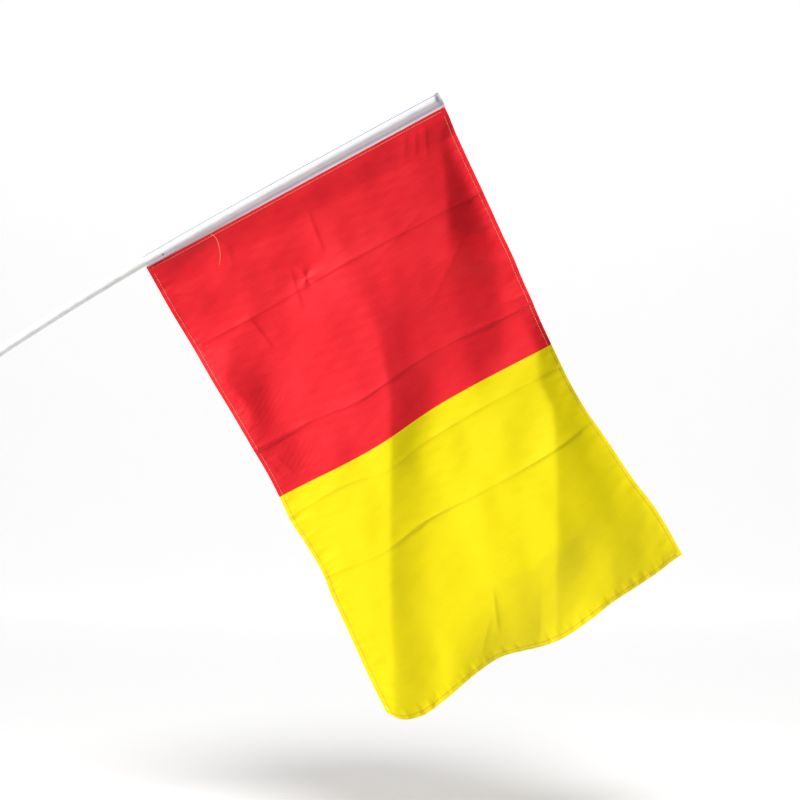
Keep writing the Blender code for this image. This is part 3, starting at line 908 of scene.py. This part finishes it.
@dataclass
class Cloth:
    """The cloth: three sheets that meet edge to edge, with hems turned to the back."""

    form: ClothForm
    swing: BlendZone
    fold: BlendZone
    fold_reach: float
    thickness: float = 0.24 * MM
    hem_width: float = 6.0 * MM
    hem_columns: int = 7
    tuck: float = 0.8 * MM
    spacing: float = 1.25 * MM
    columns: int = 221

    def rows(self, start: float, end: float) -> np.ndarray:
        """Distances down, closer together beside the pressed creases.

        Args:
            start, end: the first and last distance, in metres.
        Returns:
            Places at even steps of the running sum of 1 / spacing.
        """
        fine = np.linspace(start, end, max(2, round((end - start) / (0.1 * MM))))
        places = (sum(place for _, place in line) / len(line) for _, line in self.form.creases)
        near = sum(bell(fine / MM, place, 5.5) for place in places)
        count = np.cumsum(1 / (self.spacing * (1.15 - 0.6 * near))) * (fine[1] - fine[0])
        count -= count[0]
        return np.interp(np.linspace(0, count[-1], max(2, round(count[-1]) + 1)), count, fine)

    def layer(self, p: np.ndarray, v: np.ndarray, behind: np.ndarray | float = 0.0) -> MeshData:
        """A closed layer of cloth.

        Args:
            p, v: (rows, columns) places on the cloth.
            behind: how many thicknesses it lies behind the middle surface.
        Returns:
            The middle surface moved back, then half a thickness each way along its normals, and closed.
        """
        middle, normal = self.form.place_and_normal(p, v)
        centre = middle - normal * self.thickness * behind
        half = normal * self.thickness / 2
        return closed_sheet(centre + half, centre - half, np.stack([p * self.form.hoist, v], axis=-1))

    def sheet(self, name: str, start: float, end: float, material: bpy.types.Material) -> bpy.types.Object:
        """One sheet of cloth between two distances down."""
        p, v = np.meshgrid(np.linspace(0, 1, self.columns), self.rows(start, end))
        return make_piece(name, self.layer(p, v), material)

    def side_hems(self, name: str, start: float, end: float, material: bpy.types.Material) -> bpy.types.Object:
        """Both side hems between two distances down, as one piece: strips tight against the cloth at the edge."""
        reach = np.linspace(0, self.hem_width / self.form.hoist, self.hem_columns)
        p, v = np.meshgrid(reach, self.rows(start, end))
        behind = (1.02 + 0.25 * np.sin(np.linspace(0, np.pi, self.hem_columns)))[None, :, None]
        inner, outer = (self.layer(place, v, behind) for place in (p, 1 - p[:, ::-1]))
        return make_piece(name, inner.joined(outer), material)

    def fly_hem(self, name: str, material: bpy.types.Material) -> bpy.types.Object:
        """The hem along the free lower edge, which lies over the side hems' ends."""
        v = np.linspace(self.form.fly - self.hem_width, self.form.fly, self.hem_columns)
        p, v = np.meshgrid(np.linspace(0, 1, self.columns), v)
        behind = (2.05 + 0.2 * np.sin(np.linspace(0, np.pi, self.hem_columns)))[:, None, None]
        return make_piece(name, self.layer(p, v, behind), material)

    def build(self, red: WovenPolyester, yellow: WovenPolyester) -> list[bpy.types.Object]:
        """Makes and places every sheet and hem, bakes its transform and hides the model's own solid for its part.

        Args:
            red, yellow: the finishes of the two halves.
        Returns:
            The pieces.
        """
        red_dye, yellow_dye = red.make(), yellow.make()
        line, fly = self.form.colour_line, self.form.fly
        split = line - self.fold_reach
        plan = (
            ("red_cloth", -self.tuck, split, red, red_dye, self.swing, "red_field", "sleeve_cloth"),
            ("red_cloth_lower", split, line, red, red_dye, self.fold, "red_field", "red_cloth"),
            ("yellow_cloth", line, fly, yellow, yellow_dye, self.fold, "yellow_field", "red_cloth_lower"),
        )
        made = []
        for name, start, end, finish, dye, zone, node, held_by in plan:
            sheet = self.sheet(name, start, end, dye)
            hems = [self.side_hems(name + "_side_hems", max(start, 2.0 * MM), end, dye)]
            if end == fly:
                hems.append(self.fly_hem(name + "_lower_hem", dye))
            for piece in (sheet, *hems):
                zone.apply(piece)
                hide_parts(node)
            made += [sheet, *hems]
        return made


@dataclass
class Stitching:
    """Lock-stitch rows: short thread capsules that dip into the cloth, seen on both of its sides."""

    form: ClothForm
    swing: BlendZone
    fold: BlendZone
    split: float
    cloth_thickness: float
    pitch: float = 2.6 * MM
    length: float = 2.35 * MM
    radius: float = 0.21 * MM
    inset: float = 3.8 * MM
    seam_drop: float = 2.7 * MM
    start: float = 6.0 * MM
    hem_layers: float = 1.3
    sides: int = 6
    ring_places: tuple[float, ...] = (0.0, 0.22, 0.78, 1.0)
    ring_rise: tuple[float, ...] = (-0.4, 0.75, 0.75, -0.4)
    ring_size: tuple[float, ...] = (0.25, 1.0, 1.0, 0.25)

    def row(self, p: np.ndarray, v: np.ndarray, side: Side, hem: float) -> MeshData:
        """Capsules along a line on the cloth.

        Args:
            p, v: places of the capsules' two ends, shape (n, 2).
            side: the side of the cloth that they lie on.
            hem: extra thickness of the hem under the thread on the back.
        Returns:
            One mesh of n small wires: each a sweep of four rings that rise over the cloth in the middle.
        """
        share = np.array(self.ring_places)
        rise, swell = np.array(self.ring_rise) * self.radius, np.array(self.ring_size) * self.radius
        pp = p[:, :1] + (p[:, 1:] - p[:, :1]) * share
        vv = v[:, :1] + (v[:, 1:] - v[:, :1]) * share
        middle, normal = self.form.place_and_normal(pp, vv)
        lift = self.cloth_thickness / 2 + (hem if side is Side.BACK else 0.0)
        centre = middle + normal * side.value * (lift + rise)[None, :, None]
        tangent = centre[:, -1] - centre[:, 0]
        tangent /= np.linalg.norm(tangent, axis=-1, keepdims=True)
        tangent = np.repeat(tangent[:, None], 4, axis=1)
        cross = np.cross(tangent, normal)
        angle = np.arange(self.sides) * 2 * np.pi / self.sides
        ring = cross[:, :, None] * np.cos(angle)[:, None] + normal[:, :, None] * np.sin(angle)[:, None]
        vertices = centre[:, :, None] + ring * swell[None, :, None, None]
        count = len(p)
        one = grid_faces(4, self.sides, wrap=True)
        caps = np.array([[0, 1, 2, 3], [0, 3, 4, 5]])
        last = 3 * self.sides
        one = np.concatenate([one, caps[:, ::-1], caps + last])
        faces = (one[None] + (np.arange(count) * 4 * self.sides)[:, None, None]).reshape(-1, 4)
        along = share * self.length
        uv = np.stack(np.broadcast_arrays(along[None, :, None], (angle * self.radius)[None, None, :]), axis=-1)
        uv = np.broadcast_to(uv, (count, 4, self.sides, 2)).reshape(-1, 2)
        return MeshData(vertices.reshape(-1, 3), faces, uv)

    def down_line(self, p: float, start: float, end: float) -> tuple[np.ndarray, np.ndarray]:
        """Ends of the capsules of a row that runs down at one share across."""
        starts = np.arange(math.ceil(start / self.pitch) * self.pitch, end - self.length, self.pitch)
        v = np.stack([starts, starts + self.length], axis=-1)
        return np.full_like(v, p), v

    def across_line(self, v: float) -> tuple[np.ndarray, np.ndarray]:
        """Ends of the capsules of a row that runs across at one distance down."""
        first, last = self.inset / self.form.hoist, 1 - self.inset / self.form.hoist
        starts = np.arange(first, last - self.length / self.form.hoist, self.pitch / self.form.hoist)
        p = np.stack([starts, starts + self.length / self.form.hoist], axis=-1)
        return p, np.full_like(p, v)

    def build(self, on_red: SpunThread, on_yellow: SpunThread) -> list[bpy.types.Object]:
        """Makes the rows of each sheet and bakes each piece's transform.

        Args:
            on_red, on_yellow: finishes of the thread on each half.
        Returns:
            The pieces.
        """
        red_thread, yellow_thread = on_red.make(), on_yellow.make()
        line, last = self.form.colour_line, self.form.fly - self.inset
        edge = self.inset / self.form.hoist
        red_nodes = ("hem_thread_inner_red", "hem_thread_outer_red", "seam_thread")
        yellow_nodes = ("hem_thread_inner_yellow", "hem_thread_outer_yellow", "hem_thread_fly")
        plan = (
            ("stitches_red", self.start, self.split, self.seam_drop, red_thread, self.swing, red_nodes),
            ("stitches_red_lower", self.split, line, None, red_thread, self.fold, ()),
            ("stitches_yellow", line, last, last, yellow_thread, self.fold, yellow_nodes),
        )
        made = []
        for name, start, end, across, thread, zone, nodes in plan:
            lines = [self.down_line(edge, start, end), self.down_line(1 - edge, start, end)]
            if across is not None:
                lines.append(self.across_line(across))
            hem = self.cloth_thickness * self.hem_layers
            rows = [self.row(p, v, side, hem) for p, v in lines for side in Side]
            piece = make_piece(name, rows[0].joined(*rows[1:]), thread)
            zone.apply(piece)
            if nodes:
                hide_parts(*nodes)
            made.append(piece)
        return made


@dataclass
class LooseThread:
    """The end of sewing thread that hangs from the seam over the red: a limp free cord."""

    frame: SeamFrame
    swing: BlendZone
    diameter: float = 0.5 * MM
    sides: int = 10
    span_points: int = 6
    thinning: float = 0.35
    route: tuple[tuple[float, float, float], ...] = (
        (0.0637, -0.00095, -0.0014), (0.0650, -0.00155, -0.0026), (0.0659, -0.00180, -0.0043),
        (0.0664, -0.00190, -0.0062), (0.0665, -0.00190, -0.0082), (0.0663, -0.00190, -0.0103),
        (0.0658, -0.00190, -0.0124), (0.0653, -0.00195, -0.0144), (0.0646, -0.00200, -0.0165),
        (0.0639, -0.00205, -0.0185), (0.0631, -0.00210, -0.0205), (0.0622, -0.00220, -0.0225),
        (0.0611, -0.00235, -0.0244), (0.0600, -0.00260, -0.0261), (0.0588, -0.00295, -0.0277),
        (0.0577, -0.00340, -0.0290),
    )

    def path(self) -> np.ndarray:
        """Seam-frame route points smoothed by a cubic curve, in the world."""
        points = np.array(self.route)
        knots = np.arange(len(points), dtype=float)
        fine = np.linspace(0, len(points) - 1, (len(points) - 1) * self.span_points + 1)
        return self.frame.world(*(through(tuple(zip(knots, points[:, i])), fine) for i in range(3)))

    def build(self, finish: SpunThread) -> bpy.types.Object:
        """Makes the thread with a frayed, slightly thinned end.

        Args:
            finish: the thread's finish.
        Returns:
            The piece.
        """
        path = self.path()
        radii = self.diameter / 2 * (1 - self.thinning * np.linspace(0, 1, len(path)) ** 6)
        radii[0] = radii[-1] = 0.0
        ring, angle = rings(path, self.sides)
        along = travelled(path)
        data = grid_mesh(path[:, None] + ring * radii[:, None, None], along[:, None], angle[None] * radii.max())
        piece = make_piece("loose_thread_end", data, finish.make())
        mend(piece)
        self.swing.apply(piece)
        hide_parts("loose_thread")
        LOG.info("loose thread end: %.1f mm long", along[-1] / MM)
        return piece


# ---------------------------------------------------------------- the stick
@dataclass(frozen=True)
class StickLine:
    """The stick's axis: straight at the tip and bowed down towards the hand. Turns are in degrees."""

    frame: SeamFrame
    hoist: float
    length: float = 0.600
    radius: float = 3.9 * MM
    wall: float = 1.0 * MM
    bow_turn: float = 5.6
    bow_length: float = 0.464
    bow_power: float = 2.2
    mouth_band: float = 1.1 * MM
    cap_room: float = 1.5 * MM
    tip_inset: float = 6.0 * MM
    sleeve_reach: float = 4.5 * MM
    step: float = 2.5 * MM

    def local(self) -> tuple[np.ndarray, np.ndarray]:
        """Seam-frame X and Z of the axis, from the tube's tip end to its butt end.

        Returns:
            X and Z arrays. The heading at a distance d from the tip is the full turn times (d / bow
            length) to the bow power, and the line is the running sum of steps along the heading. It is
            raised so that the band under the sleeve has its own width at the sleeve's mouth.
        """
        tube = self.length - 2 * self.cap_room
        count = round(tube / self.step)
        middle = (np.arange(count) + 0.5) * tube / count
        share = np.minimum(middle, self.bow_length) / self.bow_length
        heading = np.radians(self.bow_turn) * share**self.bow_power
        runs = (np.cos(heading), np.sin(heading))
        x, z = (-np.concatenate([[0], np.cumsum(run)]) * tube / count for run in runs)
        x = x + self.hoist - self.tip_inset - self.cap_room
        return x, z + self.mouth_band + self.sleeve_reach - np.interp(0.0, x[::-1], z[::-1])

    def height(self, x: np.ndarray) -> np.ndarray:
        """Height of the axis over the seam at X; past the tip it stays level."""
        xs, zs = self.local()
        return np.interp(x, xs[::-1], zs[::-1])

    def world(self) -> np.ndarray:
        """World points of the axis, from tip to butt."""
        x, z = self.local()
        return self.frame.world(x, 0.0, z)


@dataclass
class Stick:
    """The hollow plastic stick and its two rounded end plugs."""

    line: StickLine
    sides: int = 48
    cap_head: float = 1.2 * MM
    cap_edge: float = 0.6 * MM
    cap_gap: float = 0.3 * MM
    spigot_length: float = 8.0 * MM
    edge_points: int = 7
    sharp_from: float = 50.0

    def turned(self, name: str, data: MeshData, finish: ExtrudedPlastic) -> bpy.types.Object:
        """Makes a turned piece with merged poles and crisp edges."""
        piece = make_piece(name, data, finish.make())
        mend(piece)
        piece.data.set_sharp_from_angle(angle=math.radians(self.sharp_from))
        return piece

    def tube(self, finish: ExtrudedPlastic) -> bpy.types.Object:
        """The tube: an outer and an inner wall joined at both ends.

        Args:
            finish: its finish.
        Returns:
            The piece.
        """
        path = self.line.world()
        ring, angle = rings(path, self.sides)
        outer, inner = self.line.radius, self.line.radius - self.line.wall
        wall = path[:, None] + ring * outer
        loop = np.concatenate([wall, (path[:, None] + ring * inner)[::-1], wall[:1]])
        along = travelled(path)
        along = np.concatenate([along, along[::-1], [0.0]])
        return self.turned("stick_shaft", grid_mesh(loop, along[:, None], angle[None] * outer), finish)

    def cap(self, name: str, at_tip: bool, finish: ExtrudedPlastic) -> bpy.types.Object:
        """An end plug, turned round the axis of the stick's end.

        Args:
            name: the piece's name.
            at_tip: the tip's plug, or else the butt's.
            finish: its finish.
        Returns:
            The piece: a disc with a quarter-round edge over a spigot inside the tube.
        """
        path = self.line.world()
        end, before = (path[0], path[1]) if at_tip else (path[-1], path[-2])
        axis = (end - before) / np.linalg.norm(end - before)
        turn = np.linspace(0, np.pi / 2, self.edge_points)
        radius = self.line.radius
        spigot = radius - self.line.wall - self.cap_gap
        top = self.cap_gap + self.cap_head
        foot = -self.spigot_length
        radii = [0.0, *(radius - self.cap_edge + self.cap_edge * np.sin(turn)), radius, spigot, spigot, 0.0]
        heights = [top, *(top - self.cap_edge * (1 - np.cos(turn))), self.cap_gap, self.cap_gap, foot, foot]
        radii, heights = np.array(radii), np.array(heights)
        angle = np.arange(self.sides) * 2 * np.pi / self.sides
        ring = BACKWARD * np.cos(angle)[:, None] + np.cross(axis, BACKWARD) * np.sin(angle)[:, None]
        points = end + axis * heights[:, None, None] + ring[None] * radii[:, None, None]
        return self.turned(name, grid_mesh(points, heights[:, None], angle[None] * radius), finish)

    def build(self) -> list[bpy.types.Object]:
        """Makes the tube and both plugs, riding on the stick."""
        shaft = ExtrudedPlastic("extruded_white_polypropylene", "#EEF1F0", "#E3E7E4", 0.34)
        plug = ExtrudedPlastic("moulded_white_plug", "#E6E8E6", "#D8DBD8", 0.45)
        plan = (
            (self.tube(shaft), "stick", "stick_tube"),
            (self.cap("tip_plug", True, plug), "cap", "tip_cap"),
            (self.cap("butt_plug", False, plug), "cap", "butt_cap"),
        )
        for piece, slot, node in plan:
            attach(piece, "stick")
            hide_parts(node)
        return [piece for piece, _, _ in plan]


# ---------------------------------------------------------------- the sleeve
@dataclass
class Sleeve:
    """The white sleeve: a tape wrapped over the stick, its two edges sewn together over the red cloth."""

    frame: SeamFrame
    line: StickLine
    wall: float = 0.3 * MM
    clearance: float = 0.3 * MM
    band_half_gap: float = 0.3 * MM
    flat_run: float = 1.8 * MM
    end_half_depth: float = 0.45 * MM
    end_flare: float = 0.8 * MM
    neck: float = 24.0
    arc_steps: int = 56
    flange_steps: int = 5
    flange_share: float = 0.82
    spacing: float = 1.6 * MM
    pucker: float = 0.05 * MM

    def section(
        self, x: np.ndarray, half_depth: np.ndarray, half_height: np.ndarray
    ) -> tuple[np.ndarray, np.ndarray]:
        """Middle line of the wrapped tape at each station.

        Args:
            x: stations along the seam, shape (n, 1).
            half_depth, half_height: the bulge's half sizes there.
        Returns:
            Y and Z arrays: the front flange up from the seam, the arc round the stick, the back flange down.
            The flange is straight for over half of its height and then bends out to meet the arc.
        """
        neck = math.radians(self.neck)
        angle = neck + (2 * np.pi - 2 * neck) * np.linspace(0, 1, self.arc_steps)[None]
        arc_y = -half_depth * np.sin(angle)
        arc_z = self.line.height(x) - half_height * np.cos(angle)
        share = np.linspace(0, 1, self.flange_steps + 1)[:-1][None]
        foot_z = arc_z[:, :1] * share * self.flange_share
        foot_y = -self.band_half_gap + (arc_y[:, :1] + self.band_half_gap) * smoothstep(share, 0.55, 1.25)
        y = np.concatenate([foot_y, arc_y, -foot_y[:, ::-1]], axis=1)
        return y, np.concatenate([foot_z, arc_z, foot_z[:, ::-1]], axis=1)

    def tint_and_painted_shade(self, y: np.ndarray, z: np.ndarray, tall: np.ndarray) -> dict[str, np.ndarray]:
        """Shares of the pink tint and of the painted grey-violet at each place of the outside.

        Args:
            y, z: the place across the seam.
            tall: height over the stick's axis, as a share of the bulge's half height.
        Returns:
            show_through, for the low flange on both faces; and the painted grey-violet share: a painted dark
            outline along the top and a painted shadow line along the flange's crease under the bulge.
        """
        low = np.clip(1 - z / (3.2 * MM), 0, 1) * smoothstep(z, -0.001, 0.0006)
        return {
            "show_through": 0.75 * low * (np.abs(y) < 1.6 * MM),
            # painted dark outline along the top, plus a painted shadow line along the crease under the bulge
            "painted_outline_and_shadow": 0.9 * smoothstep(tall, 0.70, 0.86) + 0.35 * bell(z / MM, 2.9, 0.7),
        }

    def build(self) -> list[bpy.types.Object]:
        """Returns:
            The sleeve alone, in a list.
        """
        hoist = self.line.hoist
        x = np.linspace(0, hoist, round(hoist / self.spacing) + 1)[:, None]
        reach = self.line.radius + self.clearance + self.wall / 2
        pressed = smoothstep(x, hoist - self.line.tip_inset + 0.6 * MM, hoist - self.flat_run + 0.2 * MM)
        half_height = reach + self.end_flare * pressed
        y, z = self.section(x, reach + (self.end_half_depth - reach) * pressed, half_height)
        height = self.line.height(x)
        steps = np.hypot(np.diff(y, axis=1), np.diff(z, axis=1))
        around = np.concatenate([np.zeros((len(x), 1)), np.cumsum(steps, axis=1)], axis=1)
        pucker = smooth_noise(x / (9 * MM), around / (6 * MM), 21, 10) * self.pucker
        grow = 1 + np.clip(pucker, 0, None) / (np.hypot(y, z - height) + 1e-9)
        y, z = y * grow, height + (z - height) * grow
        run_y, run_z = np.gradient(y, axis=1), np.gradient(z, axis=1)
        half = self.wall / 2 / np.hypot(run_y, run_z)
        x_all = np.broadcast_to(x, y.shape)
        outside, inside = (
            self.frame.world(x_all, y - run_z * half * way, z + run_y * half * way) for way in (1, -1)
        )
        data = closed_sheet(outside, inside, np.stack([x_all, around], axis=-1))
        piece = make_piece("sleeve_cloth", data, SleeveCotton().make())
        mend(piece, merge=False)
        for name, shares in self.tint_and_painted_shade(y, z, (z - height) / half_height).items():
            values = np.concatenate([shares.ravel(), np.zeros(shares.size)]).astype(np.float32)
            piece.data.attributes.new(name, "FLOAT", "POINT").data.foreach_set("value", values)
        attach(piece, "stick")
        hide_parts("sleeve")
        return [piece]


# ---------------------------------------------------------------- the studio
@dataclass(frozen=True)
class Lamp:
    """A round soft light: the way it stands as seen from the flag, how far, its diameter and its watts."""

    name: str
    direction: tuple[float, float, float]
    distance: float
    size: float
    power: float

    def build(self, centre: tuple[float, float, float], state: str, pieces: list[bpy.types.Object]) -> None:
        """Sets the lamp to point at a centre and to light all pieces but some, or only some.

        Args:
            centre: where it points.
            state: EXCLUDE or INCLUDE.
            pieces: the pieces that this is about.
        """
        data = bpy.data.lights.new(self.name, "AREA")
        data.shape = "DISK"
        data.size = self.size
        data.energy = self.power
        made = bpy.data.objects.new(self.name, data)
        bpy.context.scene.collection.objects.link(made)
        toward = np.array(self.direction) / np.linalg.norm(self.direction)
        made.location = tuple(np.array(centre) + toward * self.distance)
        pitch = math.atan2(math.hypot(toward[0], toward[1]), toward[2])
        made.rotation_euler = (pitch, 0.0, math.atan2(toward[1], toward[0]) + math.pi / 2)
        lit = bpy.data.collections.new(self.name + "_linking")
        for place, piece in enumerate(pieces):
            lit.objects.link(piece)
            lit.collection_objects[place].light_linking.link_state = state
        made.light_linking.receiver_collection = lit


@dataclass
class Studio:
    """A plain white sweep, soft light from the upper left and a camera that looks straight on."""

    centre: tuple[float, float, float]
    view_width: float = 0.7216
    focal: float = 100.0
    sensor: float = 36.0
    floor: float = -0.40
    turn_radius: float = 1.2
    turn_start: float = 2.4
    front: float = -0.7
    top: float = 5.0
    sides: tuple[float, float] = (-2.2, 3.0)
    fill: float = 0.03
    floor_glow: float = 0.47
    wall_glow: float = 0.56

    def camera(self) -> None:
        """Sets the camera square to the flag, far enough off to see the whole view width."""
        data = bpy.data.cameras.new("studio_camera")
        data.lens = self.focal
        data.sensor_width = self.sensor
        data.clip_end = 50.0
        made = bpy.data.objects.new("studio_camera", data)
        bpy.context.scene.collection.objects.link(made)
        distance = self.view_width * self.focal / self.sensor
        made.location = (self.centre[0], self.centre[1] - distance, self.centre[2])
        made.rotation_euler = (math.pi / 2, 0.0, 0.0)
        bpy.context.scene.camera = made

    def paper(self) -> bpy.types.Material:
        """White background paper: it reads as matt and evenly lit, with a glow that is weaker on the floor."""
        graph = Graph("white_studio_paper")
        place = graph.place()
        graph.bump(graph.noise(place, 180.0), 0.05, 0.5 * MM)
        glow = graph.spread(graph.part(place, "Y"), self.floor_glow, self.wall_glow, 0.8, 2.2)
        graph.feed("Emission Strength", glow)
        white = {"Base_Color": linear("#F7F7F7"), "Emission_Color": linear("#FFFFFF")}
        return graph.done(Roughness=0.9, Specular_IOR_Level=0.1, **white)

    def sweep(self) -> bpy.types.Object:
        """The floor that curves up into a wall: a straight run, a quarter circle and a straight rise."""
        radius = self.turn_radius
        turn = np.linspace(0, np.pi / 2, 25)
        y = np.concatenate([[0.0], radius * np.sin(turn), [radius]]) + self.turn_start
        y = np.concatenate([[self.front, 0.0], y[1:]])
        z = np.concatenate([[0.0, 0.0], radius * (1 - np.cos(turn)), [self.top]]) + self.floor
        x = np.linspace(*self.sides, 11)
        grid = np.stack(np.broadcast_arrays(x[None], y[:, None], z[:, None]), axis=-1)
        made = make_piece("studio_sweep", grid_mesh(grid, x[None], y[:, None], wrap=False), self.paper())
        return made

    def surround(self) -> None:
        """A white world that the camera sees at full strength and the flag only faintly."""
        world = bpy.data.worlds.new("white_surround")
        bpy.context.scene.world = world
        world.use_nodes = True
        tree = world.node_tree
        seen = add_node(tree, "ShaderNodeLightPath").outputs["Is Camera Ray"]
        strength = add_node(tree, "ShaderNodeMapRange", inputs={"Value": seen, "To Min": self.fill, "To Max": 1.0})
        background = tree.nodes["Background"]
        background.inputs["Color"].default_value = linear("#FFFFFF")
        tree.links.new(strength.outputs["Result"], background.inputs["Strength"])

    def build(self, white: list[bpy.types.Object]) -> None:
        """Sets the sweep, the lights and the plain view transform.

        Args:
            white: the white pieces, which have a small light of their own from in front. The paper also
                has its own, wide and from above, so that its shadow stays soft.
        """
        paper = [self.sweep()]
        for lamp, state, pieces in (
            (Lamp("key_light", (-0.79, -0.45, 0.42), 3.0, 0.7, 110.0), "EXCLUDE", paper),
            (Lamp("soft_light", (0.05, -0.82, 0.57), 3.2, 1.5, 10.0), "EXCLUDE", paper),
            (Lamp("floor_light", (0.02, -0.66, 0.74), 3.0, 1.2, 84.0), "INCLUDE", paper),
            (Lamp("white_light", (-0.30, -0.92, 0.05), 3.0, 1.0, 6.0), "INCLUDE", white),
        ):
            lamp.build(self.centre, state, pieces)
        self.surround()
        settings = bpy.context.scene.view_settings
        settings.view_transform = "Standard"
        settings.look = "None"


def dress(node: str, finish: PlatedSteel | SpunThread) -> None:
    """Gives a finish to a small part that the model's own solid already draws."""
    materials = frame["nodes"][node].data.materials
    materials.clear()
    materials.append(finish.make())


def main() -> None:
    """Builds the whole flag in order and reports each piece."""
    logging.basicConfig(level=logging.INFO, format="%(name)s: %(message)s")
    joints = {joint["name"]: joint for joint in frame["joints"]}
    hoist, hinge_gap, swing_reach, fold_reach = 0.305, 0.6 * MM, 0.040, 0.043
    seam = SeamFrame.from_joint(joints["cloth_swing"], hoist, hinge_gap)
    form = ClothForm(seam, hoist)

    def at(v: float) -> tuple[float, float, float]:
        """World point of the seam's middle moved down the cloth by v."""
        return tuple(float(c) for c in seam.world(np.array(hoist / 2), np.array(0.0), np.array(-v)))

    line = form.colour_line
    swing = BlendZone("stick", "red_half", at(0.0), at(swing_reach))
    fold = BlendZone("red_half", "yellow_half", at(line - fold_reach), at(line + fold_reach))

    studio = Studio((0.4327, 0.0, 0.0052))
    studio.camera()
    orange_on_red = SpunThread("spun_polyester_thread_orange", "#FFB48C", "#F08C60")
    orange_on_yellow = SpunThread("spun_polyester_thread_amber", "#F2B430", "#E09A22")
    made = [LooseThread(seam, swing).build(SpunThread("spun_polyester_thread_loose", "#FFAE74", "#F28A50"))]
    red = WovenPolyester("red_woven_polyester", "red_cloth", "#F1222E", "#E21623", "#F9343E")
    yellow = WovenPolyester("yellow_woven_polyester", "yellow_cloth", "#FAE700", "#F2DC00", "#FDEC12")
    cloth = Cloth(form, swing, fold, fold_reach)
    stick_line = StickLine(seam, hoist)
    white = Stick(stick_line).build() + Sleeve(seam, stick_line).build()
    made += white
    made += cloth.build(red, yellow)
    made += Stitching(form, swing, fold, line - fold_reach, cloth.thickness).build(orange_on_red, orange_on_yellow)
    dress("sleeve_tack", PlatedSteel())
    dress("end_thread", SpunThread("spun_polyester_thread_white", "#F2F2F2", "#D8D8DC"))
    studio.build(white)
    for piece in made:
        LOG.info("%s: %d vertices", piece.name, len(piece.data.vertices))


if __name__ == "__main__":
    main()
